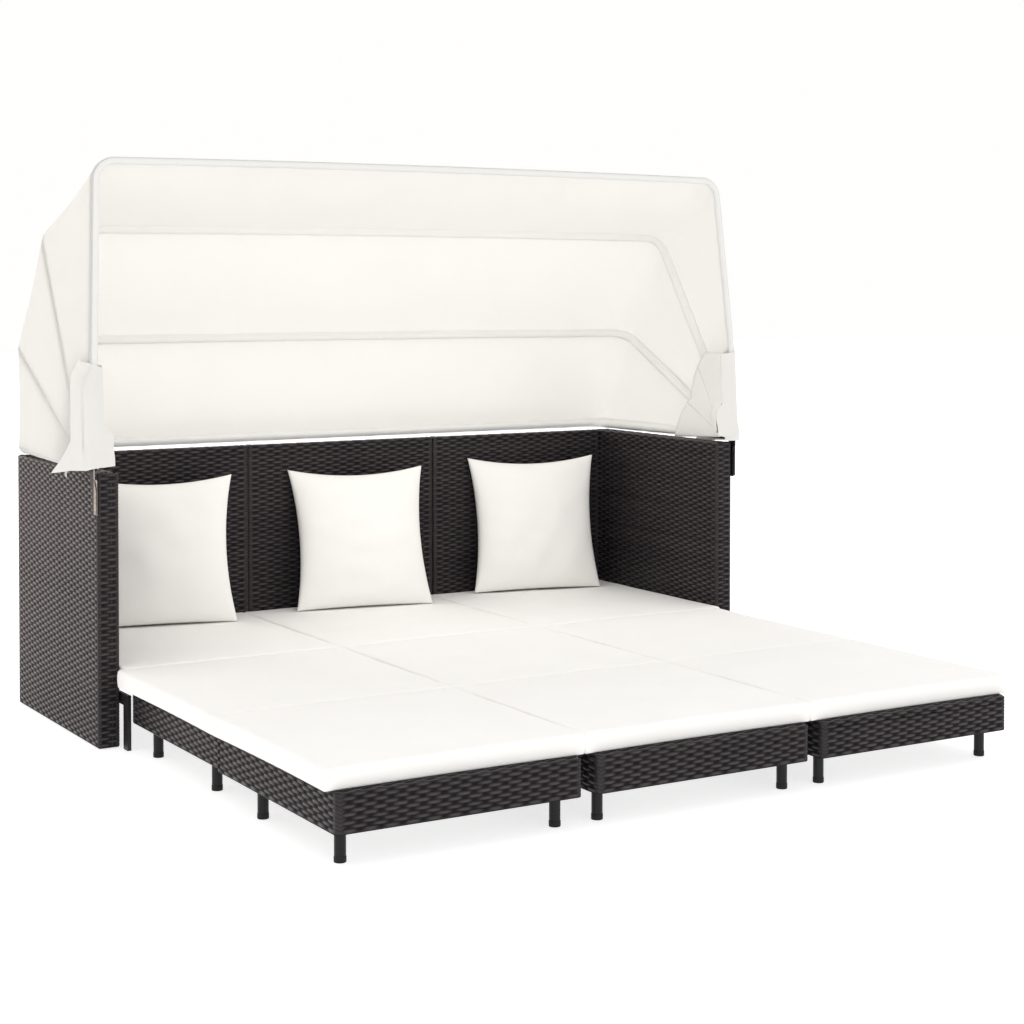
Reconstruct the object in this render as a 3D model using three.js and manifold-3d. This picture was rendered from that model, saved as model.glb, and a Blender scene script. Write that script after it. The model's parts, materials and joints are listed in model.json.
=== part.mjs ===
// Outdoor daybed with a folding canopy and a pull-out bed, in millimetres, +Z up.
// X runs to the right, Y to the back. The origin is on the floor, midway across and midway in depth.
// In the tables of sizes Y counts from the front of the arms, and the last lines move the whole to its origin.

import * as THREE from 'three';
import { mergeVertices } from 'three/addons/utils/BufferGeometryUtils.js';
import Module from 'manifold-3d';

const wasm = await Module();
wasm.setup();
const weldTolerance = 1e-3;

// Overall
const overallWidth = 2000;
const runningGap = 0.3;
const overrun = 1;
const moduleCount = 3;
const bedShift = -18; // the pulled-out bed stands a little to the left between the arms

// Arms: woven shells over a steel loop
const armHeight = 700;
const armThickness = 60;
const armDepth = 671;
const armEdge = 8;
const weaveWall = 3;
const ventWidth = 30;
const ventLength = 200;
const tubeSide = 20; // square tube inside the arms and the back
const innerHalf = overallWidth / 2 - armThickness;
const columnPitch = 2 * innerHalf / moduleCount;

// Back: three woven panels over one frame
const backThickness = 34;
const panelGap = 1.2;
const panelEdge = 6;
const backBottom = 90; // the panels' lower edge above the floor
const backRailBottom = 60;
const backRailTop = 85;
const uprightInset = 40;

// Seat deck heights, the same for the fixed seat and both pull-out rows
const deckTop = 157;
const slatBottom = 141.3;
const battenHeight = 9.7;
const battenWidth = 20;
const laneGap = 12.5; // between neighbouring lanes of slats
const laneMargin = 46; // from the outermost lane to the middle row's outer side
const padWidth = 16;
const frameTubeHeight = 25;
const frameTubeWidth = 25;
const sideRailWidth = 20;

// Fixed seat frame between the arms
const postDepth = 30;
const postFront = -46;
const sidePostWidth = 10;
const midPostWidth = 24;
const railHeight = 30;
const railInset = 1; // the rails are this much slimmer than the posts on each side
const rearPostInset = 22;
const rearBarInset = 25;

// Pull-out bed: each row of modules, front edge, legs and aprons
const travel = 235; // each row slides back this far
const stopGap = 20; // left between legs, and between aprons and the seat's first bar, when a row is in
const apronHeight = 88;
const apronThickness = 10;
const apronEdge = 4;
const frontApronCorner = 12;
const frontLedge = 30; // the woven front edge is a deeper box than the sides
const moduleGap = 36; // between neighbouring modules of the front row
const sleeveGap = 2; // between the front row's aprons and the middle row's, which slide inside them
const legRadius = 12.5;
const legSides = 12;
const capRadius = 13.2;
const capHeight = 14;
const frontRowWidth = columnPitch - moduleGap;
const middleRowWidth = frontRowWidth - 2 * (apronThickness + sleeveGap);
const lanePitch = (middleRowWidth / 2 - laneMargin) / 5; // the outermost lane is the fifth from the centre
const slatWidth = lanePitch - laneGap;
const middleLegInset = 33;
const frontLegInset = 37;
const rearBattenGap = 4; // between the front row's rear batten and the aprons that it passes between
const middleRow = {
	front: -633,
	apronRear: -45,
	slatRear: 0,
	legRear: -144,
	legFront: -521,
	legReach: middleRowWidth / 2 - middleLegInset,
};
const stiffenerGap = 7;
const slatEndGap = 24;
const frontRow = {
	front: -1244,
	rear: middleRow.front,
	slatRear: postFront - 2 * travel - slatEndGap,
	legRear: middleRow.legFront - travel - 2 * legRadius - stopGap,
	legFront: -1185,
	legReach: frontRowWidth / 2 - frontLegInset,
	stiffener: middleRow.front - travel - battenWidth / 2 - stiffenerGap,
	rearBattenReach: middleRowWidth / 2 - apronThickness - rearBattenGap,
};

// Seat cushions
const cushionTop = 210;
const cushionGap = 2.4;
const armToCushion = 1.5;
const rearCushionFront = -23;
const middleCushionFront = -640;
const frontCushionFront = -1222;
const cushionCrown = 5;
const cushionDrawIn = 4;
const cushionRound = 11;
const cushionCells = 6;

// Pillows
const pillowSize = 424;
const pillowThickness = 118;
const pillowRim = 7;
const pillowDrawIn = 15;
const pillowCells = 9;
const pillowLift = 0.6;
const leftPillowAside = 13; // from its column's centre
const middlePillowAside = 20;
const rightPillowAside = 17;
const pillowPlaces = [
	{ aside: leftPillowAside, lean: 12, turn: -12 },
	{ aside: middlePillowAside, lean: 15, turn: -10 },
	{ aside: rightPillowAside, lean: 10, turn: -12 },
];

// Canopy bows: rest angle counts back from upright, reach from the pivot to the crossbar
const pivotY = 12;
const rearBowBehind = 49; // the rear bow's crossbar stands this far behind the arms
const pivotRise = 15; // above the arms
const pivotZ = armHeight + pivotRise;
const bowTubeRadius = 8;
const footThickness = 4;
const footWidth = 18;
const footLength = 176;
const footTaper = 30;
const joggle = 45; // length over which a leg bends in above its foot
const leftLegLean = 20; // how far the front bow's left leg bends in there
const cornerRadius = 50;
const crossbarArch = 6;
const bowSides = 8;
const cornerSteps = 5;
const frontBowReach = 778;
const upperBowReach = 721;
const lowerBowReach = 661;
const rearBowReach = armDepth + rearBowBehind - pivotY;
const frontBowInset = 23; // crossbar corners, inside the arms' outer faces
const upperBowOutset = 6; // and outside them
const lowerBowOutset = 16;
const rearBowInset = 25;
const frontBowHalf = overallWidth / 2 - frontBowInset;
const upperBowHalf = overallWidth / 2 + upperBowOutset;
const lowerBowHalf = overallWidth / 2 + lowerBowOutset;
const rearBowHalf = overallWidth / 2 - rearBowInset;
const bows = [
	{ name: 'canopy_front_bow', angle: 3.5, reach: frontBowReach, halfWidth: frontBowHalf, layer: 2, leftLean: leftLegLean },
	{ name: 'canopy_upper_bow', angle: 32.5, reach: upperBowReach, halfWidth: upperBowHalf, layer: 1, leftLean: 0 },
	{ name: 'canopy_lower_bow', angle: 63, reach: lowerBowReach, halfWidth: lowerBowHalf, layer: -1, leftLean: 0 },
	{ name: 'canopy_rear_bow', angle: 90, reach: rearBowReach, halfWidth: rearBowHalf, layer: -2, leftLean: 0 },
];

// Hinge plates and pivot bolts
const plateThickness = 3;
const plateOffset = 6.7; // how far the plates bend out from the arms, for the two feet inside them
const plateWidth = 30;
const plateLength = 105; // down the arm's outer face
const plateBendBottom = 45;
const plateBendTop = 10;
const plateTopMargin = 19; // above the pivot
const boltRadius = 4;
const boltHeadRadius = 7;
const boltHeadHeight = 5;
const boltHoleRadius = 4.5;

// Canopy cloth
const clothThickness = 2;
const clothGap = 1.3;
const clothStart = 26; // distance from the pivot where the side cloth begins
const clothHem = 10;
const seamGap = 0.15;
const clothSag = 7;
const clothSagSpan = 300; // spans wider than this sag in full
const clothRows = 4;

// Worked-out sizes
const backFront = armDepth - backThickness;
const columnCentre = (column) => bedShift + (column - (moduleCount - 1) / 2) * columnPitch;
const columnGapCentre = (gap) => columnCentre(gap) + columnPitch / 2;
const battenTop = slatBottom - runningGap;
const battenBottom = battenTop - battenHeight;
const frameTop = battenBottom - runningGap;
const apronBottom = deckTop - apronHeight;
const cushionBottom = deckTop + runningGap;
const outerFace = overallWidth / 2 + runningGap; // inner side of the hinge plates

// Materials, with colours as they look in daylight
const weave = new THREE.MeshStandardMaterial({ color: 0x2b2a2c, roughness: 0.55, metalness: 0 });
const blackMetal = new THREE.MeshStandardMaterial({ color: 0x17181a, roughness: 0.4, metalness: 0.6 });
const cream = new THREE.MeshStandardMaterial({ color: 0xf3efe6, roughness: 0.9, metalness: 0 });
const zinc = new THREE.MeshStandardMaterial({ color: 0x9a9c9e, roughness: 0.35, metalness: 0.9 });

// Solids from geometries and back
function toSolid(geometry) {
	const bare = geometry.clone();
	bare.deleteAttribute('normal');
	bare.deleteAttribute('uv');
	const merged = mergeVertices(bare, weldTolerance);
	return new wasm.Manifold(new wasm.Mesh({
		numProp: 3,
		vertProperties: new Float32Array(merged.attributes.position.array),
		triVerts: new Uint32Array(merged.index.array),
	}));
}

function toGeometry(solid) {
	const mesh = solid.getMesh();
	const geometry = new THREE.BufferGeometry();
	geometry.setAttribute('position', new THREE.BufferAttribute(new Float32Array(mesh.vertProperties), 3));
	geometry.setIndex(new THREE.BufferAttribute(new Uint32Array(mesh.triVerts), 1));
	geometry.computeVertexNormals();
	return geometry;
}

function unite(solids) {
	return solids.reduce((whole, next) => whole.add(next));
}

function block(x0, x1, y0, y1, z0, z1) {
	const geometry = new THREE.BoxGeometry(x1 - x0, y1 - y0, z1 - z0);
	geometry.translate((x0 + x1) / 2, (y0 + y1) / 2, (z0 + z1) / 2);
	return toSolid(geometry);
}

// A block with every edge rounded
function roundedBlock(x0, x1, y0, y1, z0, z1, radius) {
	const outline = new THREE.Shape();
	const corners = [
		[x1 - radius, y1 - radius, 0],
		[x0 + radius, y1 - radius, Math.PI / 2],
		[x0 + radius, y0 + radius, Math.PI],
		[x1 - radius, y0 + radius, Math.PI * 1.5],
	];
	const inset = radius / 2;
	for (const [x, y, start] of corners) outline.absarc(x, y, inset, start, start + Math.PI / 2);
	const geometry = new THREE.ExtrudeGeometry(outline, {
		depth: z1 - z0 - 2 * inset,
		bevelThickness: inset,
		bevelSize: inset,
		bevelSegments: 1,
		curveSegments: 2,
	});
	geometry.translate(0, 0, z0 + inset);
	return toSolid(geometry);
}

// A closed skin through rings of points, with a fan over each end
function loft(rings) {
	const sides = rings[0].length;
	const positions = rings.flat().flatMap((point) => point.toArray());
	const faces = [];
	for (let i = 0; i + 1 < rings.length; i++) {
		for (let j = 0; j < sides; j++) {
			const a = i * sides + j;
			const b = i * sides + (j + 1) % sides;
			faces.push(a, b, b + sides, a, b + sides, a + sides);
		}
	}
	const last = (rings.length - 1) * sides;
	for (let j = 1; j + 1 < sides; j++) {
		faces.push(0, j + 1, j);
		faces.push(last, last + j, last + j + 1);
	}
	const geometry = new THREE.BufferGeometry();
	geometry.setAttribute('position', new THREE.Float32BufferAttribute(positions, 3));
	geometry.setIndex(faces);
	return geometry;
}

// A closed slab between two grids of points, the outer one facing out
function slabBetween(outer, inner) {
	const rows = outer.length;
	const columns = outer[0].length;
	const positions = [...outer.flat(), ...inner.flat()].flatMap((point) => point.toArray());
	const faces = [];
	const quad = (a, b, c, d) => faces.push(a, b, c, a, c, d);
	const at = (i, j) => i * columns + j;
	const under = rows * columns;
	for (let i = 0; i + 1 < rows; i++) {
		for (let j = 0; j + 1 < columns; j++) {
			quad(at(i, j), at(i, j + 1), at(i + 1, j + 1), at(i + 1, j));
			quad(under + at(i, j), under + at(i + 1, j), under + at(i + 1, j + 1), under + at(i, j + 1));
		}
	}
	for (let j = 0; j + 1 < columns; j++) {
		quad(at(0, j + 1), at(0, j), under + at(0, j), under + at(0, j + 1));
		const end = rows - 1;
		quad(at(end, j), at(end, j + 1), under + at(end, j + 1), under + at(end, j));
	}
	for (let i = 0; i + 1 < rows; i++) {
		quad(at(i, 0), at(i + 1, 0), under + at(i + 1, 0), under + at(i, 0));
		const side = columns - 1;
		quad(at(i + 1, side), at(i, side), under + at(i, side), under + at(i + 1, side));
	}
	const geometry = new THREE.BufferGeometry();
	geometry.setAttribute('position', new THREE.Float32BufferAttribute(positions, 3));
	geometry.setIndex(faces);
	return geometry;
}

const daybed = new THREE.Group();

function place(name, shape, material) {
	const geometry = shape.isBufferGeometry ? toGeometry(toSolid(shape)) : toGeometry(shape);
	const mesh = new THREE.Mesh(geometry, material);
	mesh.name = name;
	daybed.add(mesh);
	return mesh;
}

// Arms
function armShell(side) {
	const [x0, x1] = side < 0 ? [-overallWidth / 2, -innerHalf] : [innerHalf, overallWidth / 2];
	const skin = roundedBlock(x0, x1, 0, armDepth, 0, armHeight, armEdge);
	const hollow = block(x0 + weaveWall, x1 - weaveWall, weaveWall, armDepth - weaveWall,
		weaveWall, armHeight - weaveWall);
	const middle = (x0 + x1) / 2;
	const vents = [armDepth / 4, armDepth * 3 / 4].map((y) => block(middle - ventWidth / 2,
		middle + ventWidth / 2, y - ventLength / 2, y + ventLength / 2, -overrun, weaveWall + overrun));
	return skin.subtract(hollow).subtract(unite(vents));
}

function armFrame(side) {
	const middle = side * (innerHalf + armThickness / 2);
	const near = weaveWall + runningGap;
	const [x0, x1] = [middle - tubeSide / 2, middle + tubeSide / 2];
	const [y0, y1] = [near, armDepth - near];
	const [z0, z1] = [near, armHeight - near];
	const outer = block(x0, x1, y0, y1, z0, z1);
	const window = block(x0 - overrun, x1 + overrun, y0 + tubeSide, y1 - tubeSide, z0 + tubeSide, z1 - tubeSide);
	const stay = block(x0, x1, (y0 + y1 - tubeSide) / 2, (y0 + y1 + tubeSide) / 2,
		z0 + tubeSide / 2, z1 - tubeSide / 2);
	return outer.subtract(window).add(stay);
}

// Back
function backPanelRange(column) {
	const left = -innerHalf + column * columnPitch + panelGap / 2;
	return [left, left + columnPitch - panelGap];
}

function backPanel(column) {
	const [x0, x1] = backPanelRange(column);
	const skin = roundedBlock(x0, x1, backFront, armDepth, backBottom, armHeight, panelEdge);
	const hollow = block(x0 + weaveWall, x1 - weaveWall, backFront + weaveWall, armDepth - weaveWall,
		backBottom - overrun, armHeight - weaveWall);
	return skin.subtract(hollow);
}

function backFrame() {
	const middle = (backFront + armDepth) / 2;
	const [y0, y1] = [middle - tubeSide / 2, middle + tubeSide / 2];
	const reach = innerHalf - runningGap;
	const parts = [block(-reach, reach, y0, y1, backRailBottom, backRailTop)];
	const top = armHeight - weaveWall - runningGap;
	for (let column = 0; column < moduleCount; column++) {
		const [x0, x1] = backPanelRange(column);
		const [left, right] = [x0 + uprightInset, x1 - uprightInset];
		parts.push(block(left, left + tubeSide, y0, y1, backRailTop - overrun, top));
		parts.push(block(right - tubeSide, right, y0, y1, backRailTop - overrun, top));
		parts.push(block(left, right, y0, y1, top - tubeSide, top));
	}
	return unite(parts);
}

// Decks of slats on cross battens; a thin pad lifts each slat clear of the neighbouring row's battens
function slatsOnBattens(centre, lanes, slatRear, slatFront, battens) {
	const parts = [];
	for (const lane of lanes) {
		const x = centre + lane * lanePitch;
		parts.push(block(x - slatWidth / 2, x + slatWidth / 2, slatFront, slatRear, slatBottom, deckTop));
		for (const { y } of battens) {
			parts.push(block(x - padWidth / 2, x + padWidth / 2, y - padWidth / 2, y + padWidth / 2,
				battenTop - overrun, slatBottom + overrun));
		}
	}
	for (const { y, left, right } of battens) {
		parts.push(block(left, right, y - battenWidth / 2, y + battenWidth / 2, battenBottom, battenTop));
	}
	return parts;
}

const oddLanes = [-5, -3, -1, 1, 3, 5];
const evenLanes = [-4, -2, 0, 2, 4];

// Fixed seat: rails along Y on posts, bars across, slats on top
function seatFrame() {
	const reach = innerHalf - runningGap;
	const rails = [[-reach, -reach + sidePostWidth], [reach - sidePostWidth, reach]];
	for (let gap = 0; gap + 1 < moduleCount; gap++) {
		const x = columnGapCentre(gap);
		rails.push([x - midPostWidth / 2, x + midPostWidth / 2]);
	}
	const rear = backFront - runningGap;
	const rearPost = rear - postDepth - rearPostInset;
	const parts = [];
	for (const [x0, x1] of rails) {
		parts.push(block(x0 + railInset, x1 - railInset, postFront + railInset, rear,
			battenTop - railHeight, battenTop - railInset));
		for (const y of [postFront, rearPost]) {
			parts.push(block(x0, x1, y, y + postDepth, 0, battenTop - 2 * railInset));
		}
	}
	const barReach = reach - 2 * railInset;
	const firstBar = middleRow.apronRear + travel + stopGap + battenWidth / 2;
	const bars = [firstBar, rearPost - rearBarInset].map((y) => ({ y, left: -barReach, right: barReach }));
	for (let column = 0; column < moduleCount; column++) {
		parts.push(...slatsOnBattens(columnCentre(column), evenLanes, rear, postFront, bars));
	}
	return unite(parts);
}

// Pull-out rows
function leg(x, y) {
	const profile = [
		[0, 0],
		[capRadius, 0],
		[capRadius, capHeight],
		[legRadius, capHeight],
		[legRadius, frameTop - overrun],
		[0, frameTop - overrun],
	];
	const geometry = new THREE.LatheGeometry(profile.map(([r, z]) => new THREE.Vector2(r, z)), legSides);
	geometry.rotateX(Math.PI / 2);
	geometry.translate(x, y, 0);
	return toSolid(geometry);
}

function rowFrame(centre, row) {
	const parts = [];
	const bottom = frameTop - frameTubeHeight;
	for (const y of [row.legRear, row.legFront]) {
		parts.push(leg(centre - row.legReach, y), leg(centre + row.legReach, y));
		parts.push(block(centre - row.legReach, centre + row.legReach,
			y - frameTubeWidth / 2, y + frameTubeWidth / 2, bottom, frameTop));
	}
	for (const side of [-1, 1]) {
		const x = centre + side * row.legReach;
		parts.push(block(x - sideRailWidth / 2, x + sideRailWidth / 2, row.legFront, row.legRear, bottom, frameTop));
	}
	return unite(parts);
}

function middleDeck(centre) {
	const reach = middleRowWidth / 2 - apronThickness - runningGap;
	const battens = [middleRow.legRear, middleRow.legFront]
		.map((y) => ({ y, left: centre - reach, right: centre + reach }));
	return unite(slatsOnBattens(centre, oddLanes, middleRow.slatRear, middleRow.front, battens));
}

function middleApron(centre, side) {
	const outer = centre + side * middleRowWidth / 2;
	const inner = outer - side * apronThickness;
	return roundedBlock(Math.min(inner, outer), Math.max(inner, outer), middleRow.front, middleRow.apronRear,
		apronBottom, deckTop, apronEdge);
}

function frontDeck(centre) {
	const reach = frontRowWidth / 2 - apronThickness - runningGap;
	const battens = [
		{ y: frontRow.legRear, left: centre - frontRow.rearBattenReach, right: centre + frontRow.rearBattenReach },
		{ y: frontRow.stiffener, left: centre - reach, right: centre + reach },
		{ y: frontRow.legFront, left: centre - reach, right: centre + reach },
	];
	const slatFront = frontRow.front + frontLedge + runningGap;
	return unite(slatsOnBattens(centre, evenLanes, frontRow.slatRear, slatFront, battens));
}

// One woven skirt round the front and both sides
function frontApron(centre) {
	const half = frontRowWidth / 2;
	const skirt = roundedBlock(centre - half, centre + half, frontRow.front, frontRow.rear,
		apronBottom, deckTop, frontApronCorner);
	const edge = apronThickness;
	const hollow = block(centre - half + edge, centre + half - edge, frontRow.front + frontLedge,
		frontRow.rear + overrun, apronBottom - overrun, deckTop + overrun);
	return skirt.subtract(hollow);
}

// Cushions: a soft box, crowned on top, with sides that draw in between the corners
function cushion(x0, x1, y0, y1) {
	const [w, d, h] = [x1 - x0, y1 - y0, cushionTop - cushionBottom - cushionCrown];
	const geometry = new THREE.BoxGeometry(w, d, h, cushionCells, cushionCells, 2);
	const point = new THREE.Vector3();
	const positions = geometry.attributes.position;
	for (let i = 0; i < positions.count; i++) {
		point.fromBufferAttribute(positions, i);
		const [u, v, s] = [2 * point.x / w, 2 * point.y / d, 2 * point.z / h];
		const flat = Math.abs(s) > 0.5;
		const pull = flat ? cushionRound : 0;
		point.x -= u ** 5 * (pull + cushionDrawIn * (1 - v * v));
		point.y -= v ** 5 * (pull + cushionDrawIn * (1 - u * u));
		if (s > 0.5) point.z += cushionCrown * (1 - u ** 4) * (1 - v ** 4);
		point.x += (x0 + x1) / 2;
		point.y += (y0 + y1) / 2;
		point.z += cushionBottom + h / 2;
		positions.setXYZ(i, point.x, point.y, point.z);
	}
	return geometry;
}

function seatCushion(row, column) {
	const half = cushionGap / 2;
	let left = columnCentre(column) - columnPitch / 2 + half;
	let right = columnCentre(column) + columnPitch / 2 - half;
	if (row === 'rear') {
		const wall = innerHalf - armToCushion;
		left = column === 0 ? -wall : columnGapCentre(column - 1) + half;
		right = column === moduleCount - 1 ? wall : columnGapCentre(column) - half;
		return cushion(left, right, rearCushionFront + half, backFront - armToCushion);
	}
	if (row === 'middle') return cushion(left, right, middleCushionFront + half, rearCushionFront - half);
	return cushion(left, right, frontCushionFront, middleCushionFront - half);
}

// Pillows: two faces that swell in the middle and meet at a thin rim, with pointed corners
function pillow(column) {
	const { aside, lean, turn } = pillowPlaces[column];
	const steps = Array.from({ length: pillowCells + 1 }, (_, i) => 2 * i / pillowCells - 1);
	const face = (sign) => steps.map((v) => steps.map((u) => {
		const swell = ((1 - u * u) * (1 - v * v)) ** 0.45;
		const x = u * (pillowSize / 2 - pillowDrawIn * (1 - v * v));
		const z = v * (pillowSize / 2 - pillowDrawIn * (1 - u * u));
		const y = sign * (pillowRim / 2 + swell * (pillowThickness - pillowRim) / 2);
		return new THREE.Vector3(x, y, z + pillowSize / 2);
	}));
	const geometry = slabBetween(face(-1), face(1));
	geometry.rotateX(-THREE.MathUtils.degToRad(lean));
	geometry.rotateZ(THREE.MathUtils.degToRad(turn));
	geometry.computeBoundingBox();
	const { min, max } = geometry.boundingBox;
	geometry.translate(columnCentre(column) + aside, backFront - pillowLift - max.y, cushionTop + pillowLift - min.z);
	return geometry;
}

// The bows' flat feet lie in layers on the pivot bolt, negative layers inside the hinge plate
function layerX(layer) {
	const step = footThickness + runningGap;
	const plateMiddle = outerFace + plateOffset + plateThickness / 2;
	const firstFoot = plateThickness / 2 + runningGap + footThickness / 2;
	return plateMiddle + Math.sign(layer) * (firstFoot + (Math.abs(layer) - 1) * step);
}

// Canopy bows, drawn for one side in the bow's own plane: x across, r out from the pivot
function bowSideLine(bow, lift, startX) {
	const from = new THREE.Vector2(startX, footLength + footTaper + joggle);
	const corner = new THREE.Vector2(bow.halfWidth + lift, bow.reach + lift);
	const along = corner.clone().sub(from).normalize();
	const lean = Math.atan2(along.y, along.x);
	const turn = Math.PI - lean;
	const radius = cornerRadius + lift;
	const tangent = radius * Math.tan(turn / 2);
	const arcStart = corner.clone().addScaledVector(along, -tangent);
	const centre = new THREE.Vector2(arcStart.x - radius * along.y, arcStart.y + radius * along.x);
	const points = [];
	for (let i = 0; i <= cornerSteps; i++) {
		const angle = lean - Math.PI / 2 + turn * i / cornerSteps;
		const heading = lean + turn * i / cornerSteps;
		points.push({ x: centre.x + radius * Math.cos(angle), r: centre.y + radius * Math.sin(angle), heading });
	}
	return points;
}

function inBow(bow, x, r, across) {
	const angle = THREE.MathUtils.degToRad(bow.angle);
	return new THREE.Vector3(
		x,
		pivotY + r * Math.sin(angle) + across * Math.cos(angle),
		pivotZ + r * Math.cos(angle) - across * Math.sin(angle),
	);
}

function crossbarRise(x, halfWidth) {
	return crossbarArch * (1 - (x / halfWidth) ** 2);
}

function bowTube(bow) {
	const px = layerX(bow.layer);
	const up = Math.PI / 2;
	const flat = footThickness / 2;
	const wide = footWidth / 2;
	const round = { thick: bowTubeRadius, width: bowTubeRadius };
	const sideStations = (lean) => {
		const line = bowSideLine(bow, 0, px - lean);
		return [
			{ x: px, r: -wide, heading: up, thick: flat, width: wide / 3 },
			{ x: px, r: -wide * 0.75, heading: up, thick: flat, width: wide * 0.7 },
			{ x: px, r: 0, heading: up, thick: flat, width: wide },
			{ x: px, r: footLength, heading: up, thick: flat, width: wide },
			{ x: px, r: footLength + footTaper, heading: up, ...round },
			{ x: px - lean, r: footLength + footTaper + joggle, heading: up, ...round },
			...line.map((point) => ({ ...point, ...round })),
			{ x: line[line.length - 1].x / 2, r: bow.reach, heading: Math.PI, ...round },
		];
	};
	const right = sideStations(0);
	const left = sideStations(bow.leftLean).map((s) => ({ ...s, x: -s.x, heading: -s.heading })).reverse();
	const whole = [...right, { x: 0, r: bow.reach, heading: Math.PI, ...round }, ...left];
	const lastX = right[right.length - 2].x;
	const rings = whole.map((s) => {
		const ring = [];
		for (let k = 0; k < bowSides; k++) {
			const turn = 2 * Math.PI * (k + 0.5) / bowSides;
			const side = s.thick * Math.cos(turn);
			const x = s.x + side * Math.sin(s.heading);
			const rise = Math.abs(s.x) > lastX + overrun ? 0 : crossbarRise(s.x, lastX);
			const r = s.r + rise - side * Math.cos(s.heading);
			ring.push(inBow(bow, x, r, s.width * Math.sin(turn)));
		}
		return ring;
	});
	const tube = toSolid(loft(rings));
	const drill = new THREE.CylinderGeometry(boltHoleRadius, boltHoleRadius, 4 * px, 12);
	drill.rotateZ(Math.PI / 2);
	drill.translate(0, pivotY, pivotZ);
	return tube.subtract(toSolid(drill));
}

// Hinge plates, bent out from the arm to stand between the bows' flat feet
function hingePlate(side) {
	const [a, b] = [outerFace, outerFace + plateOffset];
	const t = plateThickness;
	const outline = new THREE.Shape();
	const [bottom, bendBottom, bendTop] = [plateLength, plateBendBottom, plateBendTop].map((z) => armHeight - z);
	const top = pivotZ + plateTopMargin;
	outline.moveTo(a, bottom);
	outline.lineTo(a + t, bottom);
	outline.lineTo(a + t, bendBottom);
	outline.lineTo(b + t, bendTop);
	outline.lineTo(b + t, top);
	outline.lineTo(b, top);
	outline.lineTo(b, bendTop);
	outline.lineTo(a, bendBottom);
	const geometry = new THREE.ExtrudeGeometry(outline, { depth: plateWidth, bevelEnabled: false });
	geometry.rotateX(Math.PI / 2);
	geometry.translate(0, pivotY + plateWidth / 2, 0);
	const drill = new THREE.CylinderGeometry(boltHoleRadius, boltHoleRadius, 4 * t, 12);
	drill.rotateZ(Math.PI / 2);
	drill.translate(b + t / 2, pivotY, pivotZ);
	const plate = toSolid(geometry).subtract(toSolid(drill));
	return side < 0 ? plate.mirror([1, 0, 0]) : plate;
}

function pivotBolt(side) {
	const inner = layerX(-2) - footThickness / 2 - runningGap;
	const outer = layerX(2) + footThickness / 2 + runningGap;
	const profile = [
		[0, inner - boltHeadHeight],
		[boltHeadRadius, inner - boltHeadHeight],
		[boltHeadRadius, inner],
		[boltRadius, inner],
		[boltRadius, outer],
		[boltHeadRadius, outer],
		[boltHeadRadius, outer + boltHeadHeight],
		[0, outer + boltHeadHeight],
	];
	const geometry = new THREE.LatheGeometry(profile.map(([r, z]) => new THREE.Vector2(r, z)), 12);
	geometry.rotateZ(-Math.PI / 2);
	geometry.translate(0, pivotY, pivotZ);
	const bolt = toSolid(geometry);
	return side < 0 ? bolt.mirror([1, 0, 0]) : bolt;
}

// Canopy cloth: stations along each bow, outside its tube, joined by a gently sagging ruled skin
function clothLine(bow, lift) {
	const hubX = layerX(2) + footThickness / 2 + runningGap + boltHeadHeight + lift - bowTubeRadius;
	const footEnd = footLength + footTaper;
	const sideLine = (lean) => {
		const corner = bowSideLine(bow, lift, hubX - lean);
		const above = footEnd + joggle;
		const half = { x: (hubX - lean + corner[0].x) / 2, r: (above + corner[0].r) / 2 };
		return [
			{ x: hubX, r: clothStart },
			{ x: hubX, r: footEnd / 2 },
			{ x: hubX, r: footEnd },
			{ x: hubX - lean, r: above },
			half,
			...corner,
			{ x: corner[corner.length - 1].x / 2, r: bow.reach + lift },
		];
	};
	const right = sideLine(0);
	const left = sideLine(bow.leftLean).map(({ x, r }) => ({ x: -x, r }));
	const lastX = right[right.length - 2].x;
	const middle = { x: 0, r: bow.reach + lift };
	return [...left, middle, ...right.reverse()].map(({ x, r }) => {
		const rise = Math.abs(x) > lastX + overrun ? 0 : crossbarRise(x, lastX);
		return inBow(bow, x, r + rise, 0);
	});
}

function clothPanel(bowA, bowB, hems) {
	const shares = Array.from({ length: clothRows + 1 }, (_, i) => i / clothRows);
	const skin = (lift) => {
		const [lineA, lineB] = [clothLine(bowA, lift), clothLine(bowB, lift)];
		const row = (share, shift) => lineA.map((a, j) => {
			const span = a.distanceTo(lineB[j]);
			const point = a.clone().lerp(lineB[j], share + shift / Math.max(span, footWidth));
			const inward = new THREE.Vector3(0, pivotY - point.y, pivotZ - point.z).normalize();
			const depth = clothSag * Math.min(1, span / clothSagSpan);
			return point.addScaledVector(inward, depth * 16 * (share * (1 - share)) ** 2);
		});
		const rows = shares.map((share) => row(share, share === 0 ? seamGap : share === 1 ? -seamGap : 0));
		const hem = (line, along) => line.map((point) => point.clone().addScaledVector(along, clothHem));
		if (hems.front) rows.unshift(hem(lineA, hems.front));
		if (hems.rear) rows.push(hem(lineB, hems.rear));
		return rows;
	};
	const near = bowTubeRadius + clothGap;
	return toSolid(slabBetween(skin(near + clothThickness), skin(near)));
}

// Assembly
for (const [side, word] of [[-1, 'left'], [1, 'right']]) {
	place(`${word}_arm_weave`, armShell(side), weave);
	place(`${word}_arm_frame`, armFrame(side), blackMetal);
	place(`${word}_hinge_plate`, hingePlate(side), blackMetal);
	place(`${word}_pivot_bolt`, pivotBolt(side), zinc);
}

const columns = ['left', 'middle', 'right'];
columns.forEach((word, column) => place(`${word}_back_panel`, backPanel(column), weave));
place('back_frame', backFrame(), blackMetal);
place('seat_frame', seatFrame(), blackMetal);

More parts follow.
